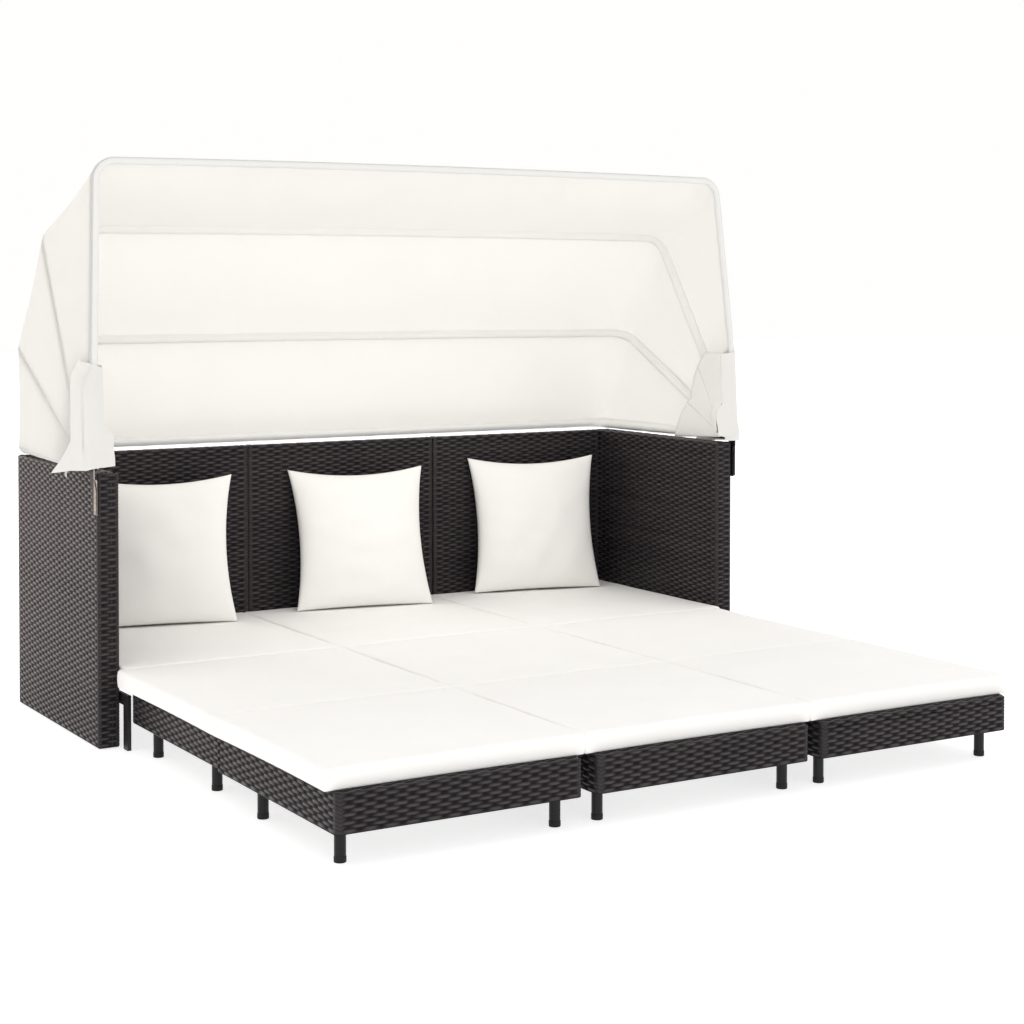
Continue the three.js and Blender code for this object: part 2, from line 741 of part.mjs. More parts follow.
columns.forEach((word, column) => {
	const centre = columnCentre(column);
	place(`${word}_middle_row_frame`, rowFrame(centre, middleRow), blackMetal);
	place(`${word}_middle_row_slats`, middleDeck(centre), blackMetal);
	place(`${word}_middle_row_left_apron`, middleApron(centre, -1), weave);
	place(`${word}_middle_row_right_apron`, middleApron(centre, 1), weave);
	place(`${word}_front_row_frame`, rowFrame(centre, frontRow), blackMetal);
	place(`${word}_front_row_slats`, frontDeck(centre), blackMetal);
	place(`${word}_front_row_apron`, frontApron(centre), weave);
	for (const row of ['rear', 'middle', 'front']) {
		place(`${word}_${row}_cushion`, seatCushion(row, column), cream);
	}
	place(`${word}_pillow`, pillow(column), cream);
});

for (const bow of bows) place(bow.name, bowTube(bow), blackMetal);
const [frontBow, upperBow, lowerBow, rearBow] = bows;
place('canopy_front_panel', clothPanel(frontBow, upperBow, { front: new THREE.Vector3(0, -1, 0) }), cream);
place('canopy_middle_panel', clothPanel(upperBow, lowerBow, {}), cream);
place('canopy_rear_panel', clothPanel(lowerBow, rearBow, { rear: new THREE.Vector3(0, 0, -1) }), cream);

// The origin goes to the middle of the depth, from the front aprons to the cloth behind the rear bow
const deepest = pivotY + rearBow.reach + bowTubeRadius + clothGap + clothThickness + crossbarArch;
daybed.position.y = -(frontRow.front + deepest) / 2;

export default daybed;
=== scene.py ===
"""Outdoor daybed with a folding canopy and a pull-out bed. Lengths are in metres."""
import json
from math import atan2, ceil, cos, pi, radians, sin, tan

import bpy
import numpy as np
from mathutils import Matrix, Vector


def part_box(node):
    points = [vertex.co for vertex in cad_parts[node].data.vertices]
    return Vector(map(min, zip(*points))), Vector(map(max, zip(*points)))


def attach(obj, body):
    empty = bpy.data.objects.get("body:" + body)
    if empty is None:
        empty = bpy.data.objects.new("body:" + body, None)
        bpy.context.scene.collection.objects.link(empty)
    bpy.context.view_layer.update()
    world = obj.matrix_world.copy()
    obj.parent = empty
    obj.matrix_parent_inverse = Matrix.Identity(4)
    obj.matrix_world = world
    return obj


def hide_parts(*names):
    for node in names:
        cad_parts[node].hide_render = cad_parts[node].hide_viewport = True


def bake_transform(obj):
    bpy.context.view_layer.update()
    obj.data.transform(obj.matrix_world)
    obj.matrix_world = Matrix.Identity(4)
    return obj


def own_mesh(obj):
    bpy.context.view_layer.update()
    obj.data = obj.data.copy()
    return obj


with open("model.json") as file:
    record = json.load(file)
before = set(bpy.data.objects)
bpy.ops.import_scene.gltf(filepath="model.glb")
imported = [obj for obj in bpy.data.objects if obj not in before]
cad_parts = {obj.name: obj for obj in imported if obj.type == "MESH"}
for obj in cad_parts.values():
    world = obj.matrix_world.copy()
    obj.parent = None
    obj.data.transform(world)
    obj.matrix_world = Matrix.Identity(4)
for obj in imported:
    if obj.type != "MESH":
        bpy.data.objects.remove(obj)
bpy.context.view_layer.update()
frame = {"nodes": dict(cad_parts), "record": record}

arm_front = 0.25335  # the front plane of the arms, along Y
columns = ("left", "middle", "right")
bed_width = 1.88
bed_shift = -0.018  # the columns stand this far off the middle of the frame
column_centre = {word: bed_shift + (i - 1) * bed_width / 3 for i, word in enumerate(columns)}

# Camera, light and floor
photo_width, focal_length = 1024, 1970.14  # in the photo's pixels
sensor_width = 36
softboxes = {  # place, aim, size, power, colour, spread in degrees
    "front_softbox": ((-1.6, -5.6, 2.4), (0.0, 0.4, 0.9), (3.0, 2.4), 34, (0.93, 0.965, 1.0), 180),
    "rear_softbox": ((-3.4, 3.6, 2.6), (-0.8, 0.5, 0.6), (2.0, 2.0), 16, (1.0, 0.95, 0.90), 180),
    "arm_softbox": ((-2.1, 3.5, 0.45), (-1.0, 0.6, 0.35), (1.2, 0.8), 4.6, (1.0, 0.62, 0.50), 180),
    "right_softbox": ((3.6, 0.6, 1.5), (1.0, 0.5, 0.9), (2.2, 2.0), 8.6, (1.0, 0.985, 0.965), 180),
    "under_canopy_softbox": ((0.0, 0.30, 1.12), (0.0, 0.50, 0.20), (1.5, 0.4), 1.3, (1.0, 0.99, 0.975), 130),
    "canopy_softbox": ((0.3, 2.9, 3.9), (0.1, 0.8, 1.0), (3.6, 2.2), 36, (1.0, 0.995, 0.99), 180),
}


def add_camera():
    bpy.ops.object.camera_add(location=(-2.65648, -4.77608 + arm_front, 1.16978),
                              rotation=(radians(88.5), 0, radians(-31.05)))
    camera = bpy.context.object
    camera.data.sensor_width = sensor_width
    camera.data.lens = focal_length / photo_width * sensor_width
    camera.data.shift_y = -0.1693
    camera.data.clip_end = 60
    bpy.context.scene.camera = camera


def add_area_light(name, place, aim, size, power, colour, spread):
    turn = (Vector(aim) - Vector(place)).to_track_quat("-Z", "Y").to_euler()
    bpy.ops.object.light_add(type="AREA", location=place, rotation=turn)
    light = bpy.context.object
    light.name = name
    light.data.shape = "RECTANGLE"
    light.data.size, light.data.size_y = size
    light.data.energy = power
    light.data.color = colour
    light.data.spread = radians(spread)
    light.visible_camera = False


def add_studio():
    scene = bpy.context.scene
    scene.view_settings.view_transform = "Standard"
    world = bpy.data.worlds.new("pale_studio")
    scene.world = world
    world.use_nodes = True
    background = world.node_tree.nodes["Background"]
    set_inputs(background, Color=(1.0, 0.995, 0.985, 1), Strength=1.0)
    for name, settings in softboxes.items():
        add_area_light(name, *settings)
    bpy.ops.mesh.primitive_plane_add(size=60)
    floor = bpy.context.object
    floor.name = "studio_floor"
    pale_floor, _, shader = new_material("pale_floor")
    set_inputs(shader, Base_Color=(0.5, 0.5, 0.497, 1), Roughness=0.9, Emission_Color=(1, 1, 1, 1),
               Emission_Strength=0.72)
    floor.data.materials.append(pale_floor)


# Materials
def new_material(name):
    material = bpy.data.materials.new(name)
    material.use_nodes = True
    return material, material.node_tree, material.node_tree.nodes["Principled BSDF"]


def set_inputs(node, **inputs):
    """Give each input its value, or link it where that is another node's output."""
    for name, value in inputs.items():
        socket = node.inputs[name.replace("_", " ")]
        if isinstance(value, bpy.types.NodeSocket):
            node.id_data.links.new(value, socket)
        else:
            socket.default_value = value


def add_node(tree, kind, settings=None, **inputs):
    node = tree.nodes.new(kind)
    for key, value in (settings or {}).items():
        setattr(node, key, value)
    set_inputs(node, **inputs)
    return node


def object_place(tree):
    return add_node(tree, "ShaderNodeTexCoord").outputs["Object"]


def uv_place(tree):
    return add_node(tree, "ShaderNodeUVMap", {"uv_map": "UVMap"}).outputs["UV"]


def attribute(tree, name):
    return add_node(tree, "ShaderNodeAttribute", {"attribute_name": name}).outputs["Fac"]


def noise(tree, place, scale, detail, roughness=0.5):
    return add_node(tree, "ShaderNodeTexNoise", Vector=place, Scale=scale, Detail=detail,
                    Roughness=roughness).outputs["Fac"]


def mapped(tree, value, low, high, start=0.0, end=1.0):
    """The value's range from start to end, laid over low to high."""
    return add_node(tree, "ShaderNodeMapRange", Value=value, From_Min=start, From_Max=end, To_Min=low,
                    To_Max=high).outputs["Result"]


def bumped(tree, height, strength, distance, **normal):
    return add_node(tree, "ShaderNodeBump", Height=height, Strength=strength, Distance=distance,
                    **normal).outputs["Normal"]


def mixed(tree, factor, a, b, kind="MULTIPLY"):
    return add_node(tree, "ShaderNodeMix", {"data_type": "RGBA", "blend_type": kind}, Factor=factor, A=a,
                    B=b).outputs["Result"]


def ramp(tree, source, stops):
    node = tree.nodes.new("ShaderNodeValToRGB")
    while len(node.color_ramp.elements) < len(stops):
        node.color_ramp.elements.new(0.5)
    for element, (position, colour) in zip(node.color_ramp.elements, stops):
        element.position = position
        element.color = (*colour, 1)
    tree.links.new(source, node.inputs["Fac"])
    return node.outputs["Color"]


def woven_strand_material():
    material, tree, shader = new_material("woven_strand")
    cavity, tone = attribute(tree, "weave_height"), attribute(tree, "strand_tone")
    stretched = add_node(tree, "ShaderNodeMapping", Vector=uv_place(tree), Scale=(40, 900, 1)).outputs["Vector"]
    streaks = noise(tree, stretched, 1.0, 3.0, 0.6)
    # Painted shade: the colour darkens from the strands' crowns into the dips between them, and the specular strength
    # below falls off towards the dips, so that only the crowns reflect.
    depth = ramp(tree, cavity, [(0.10, (0.016, 0.0148, 0.0160)), (0.40, (0.031, 0.0288, 0.0305)),
                                (0.80, (0.043, 0.0392, 0.0408)), (1.0, (0.050, 0.0452, 0.0468))])
    tones = ramp(tree, tone, [(0.0, (0.72, 0.72, 0.74)), (0.5, (0.98, 0.97, 0.96)), (1.0, (1.25, 1.2, 1.16))])
    grain = ramp(tree, streaks, [(0.3, (0.6, 0.6, 0.6)), (0.7, (1.25, 1.25, 1.25))])
    set_inputs(shader, Base_Color=mixed(tree, 0.55, mixed(tree, 1.0, depth, tones), grain),
               Roughness=mapped(tree, streaks, 0.22, 0.36), Normal=bumped(tree, streaks, 0.25, 0.0004),
               Specular_IOR_Level=mapped(tree, cavity, 0.03, 0.55, 0.35, 0.95),
               Specular_Tint=(1.0, 0.88, 0.86, 1), IOR=1.36)
    return material


def powder_coat_material(name, colour, roughness):
    material, tree, shader = new_material(name)
    place = object_place(tree)
    fine, broad = noise(tree, place, 900.0, 2.0), noise(tree, place, 14.0, 3.0)
    darker, lighter = (tuple(c * share for c in colour) for share in (0.8, 1.25))
    set_inputs(shader, Base_Color=ramp(tree, broad, [(0.35, darker), (0.65, lighter)]),
               Roughness=mapped(tree, broad, roughness - 0.07, roughness + 0.09),
               Normal=bumped(tree, fine, 0.18, 0.0003), Specular_IOR_Level=0.3)
    return material


def front_highlight_plate_material():
    """Dark coat on the left hinge plate, with light grey-brown on the faces that look forward: a painted highlight on
    its front edge.
    """
    material, tree, shader = new_material("front_highlight_plate_coat")
    forward = add_node(tree, "ShaderNodeVectorMath", {"operation": "DOT_PRODUCT"})
    tree.links.new(add_node(tree, "ShaderNodeNewGeometry").outputs["True Normal"], forward.inputs[0])
    forward.inputs[1].default_value = (0, -1, 0)
    mottle = noise(tree, object_place(tree), 120.0, 4.0)
    dark = ramp(tree, mottle, [(0.35, (0.012, 0.0105, 0.010)), (0.65, (0.018, 0.0155, 0.015))])
    bright = ramp(tree, mottle, [(0.35, (0.34, 0.29, 0.25)), (0.65, (0.5, 0.44, 0.39))])
    # the faces that look forward take the light colour: a painted highlight
    front = ramp(tree, forward.outputs["Value"], [(0.6, (0, 0, 0)), (0.7, (1, 1, 1))])
    set_inputs(shader, Base_Color=mixed(tree, front, dark, bright, "MIX"), Roughness=0.5, Specular_IOR_Level=0.2)
    return material


def plated_material():
    material, tree, shader = new_material("zinc_plating")
    spangle = add_node(tree, "ShaderNodeTexVoronoi", Vector=object_place(tree), Scale=260.0).outputs["Distance"]
    set_inputs(shader, Base_Color=ramp(tree, spangle, [(0.0, (0.50, 0.51, 0.53)), (0.8, (0.68, 0.69, 0.70))]),
               Metallic=1.0, Roughness=mapped(tree, spangle, 0.28, 0.42))
    return material


def cloth_material(name, light, dark, threads=700.0, see_through=0):
    """Plain-woven cloth. Threads run along the piece's own UV map, which is in metres."""
    material, tree, shader = new_material(name)
    place = object_place(tree)
    product = add_node(tree, "ShaderNodeMath", {"operation": "MULTIPLY"})
    for direction, factor in zip("XY", product.inputs):
        wave = add_node(tree, "ShaderNodeTexWave", {"wave_type": "BANDS", "bands_direction": direction},
                        Vector=uv_place(tree), Scale=threads, Distortion=0.6, Detail=1.0, Detail_Scale=2.0)
        tree.links.new(wave.outputs["Fac"], factor)
    weave = product.outputs["Value"]
    broad = ramp(tree, noise(tree, place, 7.0, 4.0, 0.55), [(0.3, dark), (0.7, light)])
    shade = ramp(tree, weave, [(0.0, (0.93, 0.925, 0.91)), (0.6, (1.0, 1.0, 1.0))])
    colour = mixed(tree, 0.5, broad, shade)
    creases = noise(tree, place, 16.0, 3.0)
    normal = bumped(tree, creases, 0.25, 0.004, Normal=bumped(tree, weave, 0.3, 0.0003))
    set_inputs(shader, Base_Color=colour, Roughness=0.88, Specular_IOR_Level=0.25, Sheen_Weight=0.12,
               Sheen_Roughness=0.5, Normal=normal)
    if see_through:
        glow = add_node(tree, "ShaderNodeBsdfTranslucent", Color=colour, Normal=normal)
        mix = add_node(tree, "ShaderNodeMixShader", Fac=see_through)
        tree.links.new(shader.outputs["BSDF"], mix.inputs[1])
        tree.links.new(glow.outputs["BSDF"], mix.inputs[2])
        tree.links.new(mix.outputs["Shader"], tree.nodes["Material Output"].inputs["Surface"])
    return material


woven_strand = woven_strand_material()
black_coat = powder_coat_material("black_powder_coat", (0.016, 0.016, 0.018), 0.38)
leg_coat = powder_coat_material("leg_powder_coat", (0.003, 0.003, 0.0034), 0.36)
plate_coat = powder_coat_material("plate_powder_coat", (0.008, 0.0075, 0.0075), 0.5)
front_highlight_plate_coat = front_highlight_plate_material()
foot_plastic = powder_coat_material("foot_plastic", (0.005, 0.005, 0.005), 0.55)
bow_coat = powder_coat_material("bow_powder_coat", (0.035, 0.034, 0.034), 0.42)
zinc_plating = plated_material()
cushion_cloth = cloth_material("cushion_cloth", (0.94, 0.927, 0.908), (0.92, 0.907, 0.887), 900.0)
pillow_cloth = cloth_material("pillow_cloth", (0.915, 0.90, 0.872), (0.90, 0.884, 0.855), 900.0)
# pocket_cloth and front_pocket_cloth are darker copies of the canopy cloth: painted shade of the bows inside the
# sleeves, darkest along the front bow.
pocket_cloth = cloth_material("pocket_cloth", (0.88, 0.87, 0.85), (0.87, 0.86, 0.84))
patch_cloth = cloth_material("patch_cloth", (0.905, 0.89, 0.865), (0.89, 0.875, 0.85), see_through=0.2)
lining_cloth = cloth_material("lining_cloth", (0.985, 0.975, 0.955), (0.975, 0.965, 0.945), see_through=0.15)
front_pocket_cloth = cloth_material("front_pocket_cloth", (0.79, 0.785, 0.77), (0.78, 0.775, 0.76))
canopy_cloth = cloth_material("canopy_cloth", (0.955, 0.947, 0.932), (0.945, 0.935, 0.92), see_through=0.62)


# Mesh helpers
def ripples(x, y, wavelength, seed, waves=8):
    """Smooth irregular waves of about the given length, between about -1 and 1."""
    dice = np.random.default_rng(seed)
    total = np.zeros(np.broadcast(x, y).shape)
    for _ in range(waves):
        turn, start = dice.uniform(0, 2 * pi, 2)
        pace = 2 * pi / wavelength * dice.uniform(0.6, 1.6)
        total += np.sin(pace * (x * cos(turn) + y * sin(turn)) + start)
    return total / waves ** 0.5 / 1.4


def select_only(*pieces):
    bpy.ops.object.select_all(action="DESELECT")
    for piece in pieces:
        piece.select_set(True)
    bpy.context.view_layer.objects.active = pieces[0]


def newest(name):
    """The object that was just made, under its own name."""
    piece = bpy.context.object
    piece.name = piece.data.name = name
    return piece


def edit_all(piece, *steps):
    """Take each step in edit mode, with the whole mesh selected at first."""
    select_only(piece)
    bpy.ops.object.mode_set(mode="EDIT")
    bpy.ops.mesh.select_all(action="SELECT")
    for step in steps:
        step()
    bpy.ops.object.mode_set(mode="OBJECT")


def turn_faces_out(piece):
    edit_all(piece, bpy.ops.mesh.normals_make_consistent)


def vertex_places(mesh):
    places = np.empty(len(mesh.vertices) * 3)
    mesh.vertices.foreach_get("co", places)
    return places.reshape(-1, 3)


def lay_vertices(mesh, places):
    mesh.vertices.foreach_set("co", places.ravel())
    mesh.update()


def lay_uv(mesh, places):
    """Lay the UV map by each vertex's place in it."""
    corners = np.empty(len(mesh.loops), int)
    mesh.loops.foreach_get("vertex_index", corners)
    mesh.uv_layers[0].data.foreach_set("uv", places[corners].ravel())


def laid_grid(name, points, u, v, material, attributes=None):
    """A grid primitive whose vertices are laid on rows of points. Edges that meet are merged."""
    rows, across = points.shape[:2]
    bpy.ops.mesh.primitive_grid_add(x_subdivisions=across - 1, y_subdivisions=rows - 1, size=1)
    piece = newest(name)
    mesh = piece.data
    places = vertex_places(mesh)
    order = np.lexsort((places[:, 0].round(6), places[:, 1].round(6)))
    places[order] = points.reshape(-1, 3)
    lay_vertices(mesh, places)
    for key, values in (attributes or {}).items():
        laid = np.empty(len(order), np.float32)
        laid[order] = values.ravel()
        mesh.attributes.new(key, "FLOAT", "POINT").data.foreach_set("value", laid)
    places = np.empty((len(order), 2))
    places[order] = np.stack([u.ravel(), v.ravel()], 1)
    lay_uv(mesh, places)
    edit_all(piece, lambda: bpy.ops.mesh.remove_doubles(threshold=1e-5))
    bpy.ops.object.shade_smooth()
    mesh.materials.append(material)
    return piece


def apply_modifier(piece, kind, **settings):
    modifier = piece.modifiers.new(kind.lower(), kind)
    for key, value in settings.items():
        setattr(modifier, key, value)
    select_only(piece)
    bpy.ops.object.modifier_apply(modifier=modifier.name)


def joined(name, parts):
    select_only(*parts)
    bpy.ops.object.join()
    piece = newest(name)
    bpy.ops.object.transform_apply(location=True, rotation=True, scale=True)
    return piece


def finish_piece(piece, body, slot, *nodes):
    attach(piece, body)
    if nodes:
        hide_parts(*nodes)


def distance_along(points):
    """Each point's distance from the first one, along the line."""
    return np.concatenate([[0], np.cumsum(np.linalg.norm(np.diff(points, axis=0), axis=1))])


# Weave: flat strands run along the walls and pass over and under upright stakes
strand_pitch = 0.00825
stake_pitch = 0.0244
weave_relief = 0.0034
strand_groove = 0.0014
edge_wrap = 0.011  # half width of the wound strip along upright corners
strand_cell = strand_pitch / 4  # a mesh cell across the strands
bump_cell = 0.0049  # a mesh cell along the strands
strand_kinds = 600  # strands, and stakes, that differ before they repeat
bottom_rim = 0.01  # the weave's width under a box


def weave_relief_at(u, v, seed):
    """The strands' height about the wall's middle surface, and their tones, at distance u along and v across."""
    dice = np.random.default_rng(seed)
    row = np.floor(v / strand_pitch + 1e-6).astype(int)
    share = v / strand_pitch - row
    offsets = dice.normal(0, 0.12, strand_kinds)
    lifts = dice.uniform(0.82, 1.12, strand_kinds)
    stakes = dice.normal(0, 0.10, strand_kinds)
    k = row % strand_kinds
    stake = np.round(u / stake_pitch).astype(int) % strand_kinds
    wave = np.cos(pi * (u / stake_pitch + row) + offsets[k] + stakes[stake])
    over = 1 - 2 * ((1 - wave) / 2) ** 1.5  # broad crowns, short dips behind the stakes
    crown = 1 - np.abs(2 * share - 1) ** 2.2
    height = crown * over * lifts[k] * weave_relief / 2 - (1 - crown) * strand_groove
    tone = np.clip(0.5 + 0.16 * dice.normal(0, 1, strand_kinds)[k] + 0.14 * ripples(u, v, 0.30, seed + 7), 0, 1)
    return height, tone


def wound_relief_at(u, v):
    """Height of a strand wound round an upright corner."""
    turn = (v / strand_pitch + u / (2.4 * edge_wrap)) % 1.0
    return weave_relief * (0.42 * np.sin(pi * turn) ** 0.6 - 0.25)


def woven_piece(name, points, u, v, seed, corner_distance, calm, flush=0.0, shaded=0.0):
    """A woven wall laid on a grid of points. corner_distance is each point's distance to the nearest upright
    corner, calm flattens the relief where it is 1, flush lifts it to the points' own surface, and shaded darkens it."""
    du = np.gradient(points, axis=1)
    dv = np.gradient(points, axis=0)
    du[:, 0] = du[:, -1] = points[:, 1] - points[:, 0] + (points[:, -1] - points[:, -2])
    outward = np.cross(du, dv)
    outward /= np.linalg.norm(outward, axis=2, keepdims=True) + 1e-12
    height, tone = weave_relief_at(u, v, seed)
    wound = np.abs(corner_distance) < edge_wrap
    height = np.where(wound, wound_relief_at(corner_distance, v), height)
    height = height * (1 - calm) + calm * weave_relief * 0.1
    # weave_height is low in the dips, where the strand material paints shade; shaded lowers it further to paint shade
    # along a bottom edge.
    depth = np.clip(height / weave_relief + 0.5, 0, 1) * (1 - shaded)
    laid = points + outward * ((height - weave_relief * 0.55) * (1 - flush))[..., None]
    return laid_grid(name, laid, u, v, woven_strand, {"weave_height": depth, "strand_tone": tone})


def straight(a, b, count):
    """Points from a up to, but not with, b."""
    return [(a[0] + (b[0] - a[0]) * i / count, a[1] + (b[1] - a[1]) * i / count) for i in range(count)]


def bend(x, y, radius, start, count):
    """Points round a quarter circle, without its end."""
    turns = [start + pi / 2 * i / count for i in range(count)]
    return [(x + radius * cos(a), y + radius * sin(a)) for a in turns]


def nearest_mark(line, marks, loop=None):
    """Each place's distance to the nearest mark, round a loop if its length is given."""
    offsets = line[:, None] - marks[None]
    if loop:
        offsets = (offsets + loop / 2) % loop - loop / 2
    return offsets[np.arange(len(line)), np.abs(offsets).argmin(1)]


def box_wall(name, node, radius, seed):
    """A woven box: rows run round its four sides, over the top edge and inwards to the middle."""
    (x0, y0, z0), (x1, y1, z1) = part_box(node)
    hx, hy = (x1 - x0) / 2, (y1 - y0) / 2
    cx, cy = (x0 + x1) / 2, (y0 + y1) / 2
    along_x, along_y = (max(2, ceil(2 * (half - radius) / bump_cell)) for half in (hx, hy))
    arc = 4

    def loop(inset):
        r = max(radius - inset, 0.0)
        sx, sy = max(hx - inset - r, 0.0), max(hy - inset - r, 0.0)
        points = (straight((sx + r, -sy), (sx + r, sy), along_y) + bend(sx, sy, r, 0, arc)
                  + straight((sx, sy + r), (-sx, sy + r), along_x) + bend(-sx, sy, r, pi / 2, arc)
                  + straight((-sx - r, sy), (-sx - r, -sy), along_y) + bend(-sx, -sy, r, pi, arc)
                  + straight((-sx, -sy - r), (sx, -sy - r), along_x) + bend(sx, -sy, r, 1.5 * pi, arc))
        return np.array(points + points[:1])

    u_line = distance_along(loop(0))
    girth = u_line[-1]
    stakes = round(girth / stake_pitch / 2) * 2
    half_loop = along_y + along_x + 2 * arc
    corners = [along_y + arc / 2, half_loop - arc / 2, half_loop + along_y + arc / 2, 2 * half_loop - arc / 2]
    nearest = nearest_mark(u_line, np.interp(corners, np.arange(len(u_line)), u_line), girth)
    # the rows as inset and height, from the middle of the bottom up and over to the middle of the top
    edge = min(radius, 0.006)
    middle = min(hx, hy)
    quarter = np.linspace(0, pi / 2, 4)
    tall = z1 - z0 - 2 * edge
    up = ceil(tall / strand_cell)
    over = ceil((middle - edge) / strand_cell)
    rows = [(middle, z0), (edge + bottom_rim, z0)]
    rows += [(edge * (1 - sin(a)), z0 + edge * (1 - cos(a))) for a in quarter]
    rows += [(0.0, z0 + edge + tall * i / up) for i in range(1, up)]
    rows += [(edge * (1 - cos(a)), z1 - edge + edge * sin(a)) for a in quarter]
    rows += [(edge + (middle - edge) * i / over, z1) for i in range(1, over + 1)]
    insets, heights = np.array(rows).T
    v_line = distance_along(np.array(rows))
    v_line += 10 * strand_pitch - v_line[insets == 0.0][0]
    points = np.array([[(cx + px, cy + py, z) for px, py in loop(inset)] for inset, z in rows])
    v = np.repeat(v_line[:, None], len(u_line), 1)
    u = np.repeat((u_line * stakes * stake_pitch / girth)[None], len(rows), 0)
    upper = heights > (z0 + z1) / 2
    calm = np.where((insets > 0) & ~upper, 1.0, np.where((insets > 0) & (insets <= edge) & upper, 0.75, 0.0))
    calm = np.repeat(calm[:, None], len(u_line), 1)
    corner_distance = np.where(insets[:, None] > edge + 1e-6, 1.0, nearest[None])
    return woven_piece(name, points, u, v, seed, corner_distance, calm)


def add_woven_box(name, node, body, radius, seed):
    piece = box_wall(name, node, radius, seed)
    turn_faces_out(piece)
    finish_piece(piece, body, "weave", node)


def add_arms_and_backs():
    for i, side in enumerate(("left", "right")):
        add_woven_box(f"{side}_woven_arm", f"{side}_arm_weave", "frame", 0.008, 11 + i)
    for i, word in enumerate(columns):
        add_woven_box(f"{word}_woven_back", f"{word}_back_panel", "frame", 0.006, 21 + i)


def add_middle_aprons():
    for i, word in enumerate(columns):
        for j, side in enumerate(("left", "right")):
            add_woven_box(f"{word}_middle_woven_{side}_side", f"{word}_middle_row_{side}_apron",
                          f"{word}_middle_row", 0.0045, 31 + 2 * i + j)


# Front aprons: one woven skirt round the front and both sides, deeper at the front
skirt_ledge = 0.038  # thickness of the front
skirt_side = 0.010
skirt_corner = 0.012
skirt_edge = 0.0045
skirt_lip = 0.018  # the cushion begins this far behind the skirt's front face


def skirt(name, node, seed):
    (x0, front, z0), (x1, rear, z1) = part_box(node)
    radius, edge = skirt_corner, skirt_edge
    arc = 6
    side_n = ceil((rear - front - radius) / bump_cell)
    front_n = ceil((x1 - x0 - 2 * radius) / bump_cell)
    xi0, xi1, yi = x0 + skirt_side, x1 - skirt_side, front + skirt_ledge
    outer = np.array(straight((x0, rear), (x0, front + radius), side_n)
                     + bend(x0 + radius, front + radius, radius, pi, arc)
                     + straight((x0 + radius, front), (x1 - radius, front), front_n)
                     + bend(x1 - radius, front + radius, radius, 1.5 * pi, arc)
                     + straight((x1, front + radius), (x1, rear), side_n) + [(x1, rear)])
    inner = np.array(straight((xi0, rear), (xi0, yi), side_n) + [(xi0, yi)] * arc
                     + straight((xi0, yi), (xi1, yi), front_n) + [(xi1, yi)] * arc
                     + straight((xi1, yi), (xi1, rear), side_n) + [(xi1, rear)])
    u_line = distance_along(outer)
    corners = [side_n + arc / 2, side_n + front_n + 1.5 * arc]
    nearest = nearest_mark(u_line, np.interp(corners, np.arange(len(u_line)), u_line))
    across = inner - outer
    width = np.linalg.norm(across, axis=1)
    across /= width[:, None]
    # the rows as inset (a share of the local width and a length), height and calm: up the outer face,
    # over the top and down the inner face
    quarter = np.linspace(0, pi / 2, 4)
    tall = z1 - z0 - 2 * edge
    up = ceil(tall / strand_cell)
    over = ceil((skirt_ledge - 2 * edge) / strand_cell)
    down = 8
    rows = [(0, edge * (1 - sin(a)), z0 + edge * (1 - cos(a)), 1.0) for a in quarter]
    rows += [(0, 0, z0 + edge + tall * i / up, 0.0) for i in range(1, up)]
    rows += [(0, edge * (1 - cos(a)), z1 - edge + edge * sin(a), 0.5 if a else 0.0) for a in quarter]
    rows += [(i / over, edge * (1 - 2 * i / over), z1, 0.25) for i in range(1, over)]
    rows += [(1, -edge * (1 - sin(a)), z1 - edge + edge * cos(a), 0.5) for a in quarter]
    rows += [(1, 0, z1 - edge - tall * i / down, 0.8) for i in range(1, down)]
    rows += [(1, -edge * (1 - cos(a)), z0 + edge * (1 - sin(a)), 1.0) for a in quarter]
    shares, lengths, heights, calm = np.array(rows + rows[:1]).T[..., None]
    plan = outer + across * (shares * width + lengths)[..., None]
    points = np.concatenate([plan, np.repeat(heights, len(outer), 1)[..., None]], 2)
    v = np.cumsum(np.linalg.norm(np.diff(points, axis=0, prepend=points[:1]), axis=2), axis=0)
    v = np.maximum(v - v[3] + 10 * strand_pitch, 0)
    calm = np.repeat(calm, len(outer), 1)
    on_wall = np.abs(shares + lengths) < 1e-9
    corner_distance = np.where(on_wall, nearest, 1.0)
    u = np.repeat(u_line[None], len(points), 0)
    under_cushion = points[..., 1] > front + skirt_lip
    flush = np.where(under_cushion & (np.abs(points[..., 2] - z1) < edge), 1.0, 0.0)
    # Painted shade: the skirt's lowest rows get the darkest dip colour of the weave, as shade under it.
    shaded = np.where(points[..., 2] < z0 + 0.7 * edge, 1.0, 0.0)
    piece = woven_piece(name, points, u, v, seed, corner_distance, calm, flush, shaded)
    # close the two open ends
    edit_all(piece, lambda: bpy.ops.mesh.select_all(action="DESELECT"), bpy.ops.mesh.select_non_manifold,
             bpy.ops.mesh.fill)
    turn_faces_out(piece)
    return piece


def add_front_aprons():
    for i, word in enumerate(columns):
        node = f"{word}_front_row_apron"
        piece = skirt(f"{word}_front_woven_skirt", node, 41 + i)
        finish_piece(piece, f"{word}_front_row", "weave", node)


# Leg frames: round legs with caps, cross tubes and side rails
leg_radius = 0.0125
tube_top = 0.1307
tube_height = 0.025
rail_width = 0.020
cap_radius, cap_height, cap_bevel = 0.0132, 0.014, 0.0018
leg_foot = 0.006  # the leg stands this high inside its cap
leg_rows = {  # half the distance across between the legs, and how far the rear and the front ones stand before the arms
    "middle": (0.25033, 0.144, 0.521), "front": (0.25833, 0.801, 1.185)}


def round_post(x, y, bottom, top, radius):
    bpy.ops.mesh.primitive_cylinder_add(vertices=40, radius=radius, depth=top - bottom,
                                        location=(x, y, (bottom + top) / 2))
    return bpy.context.object


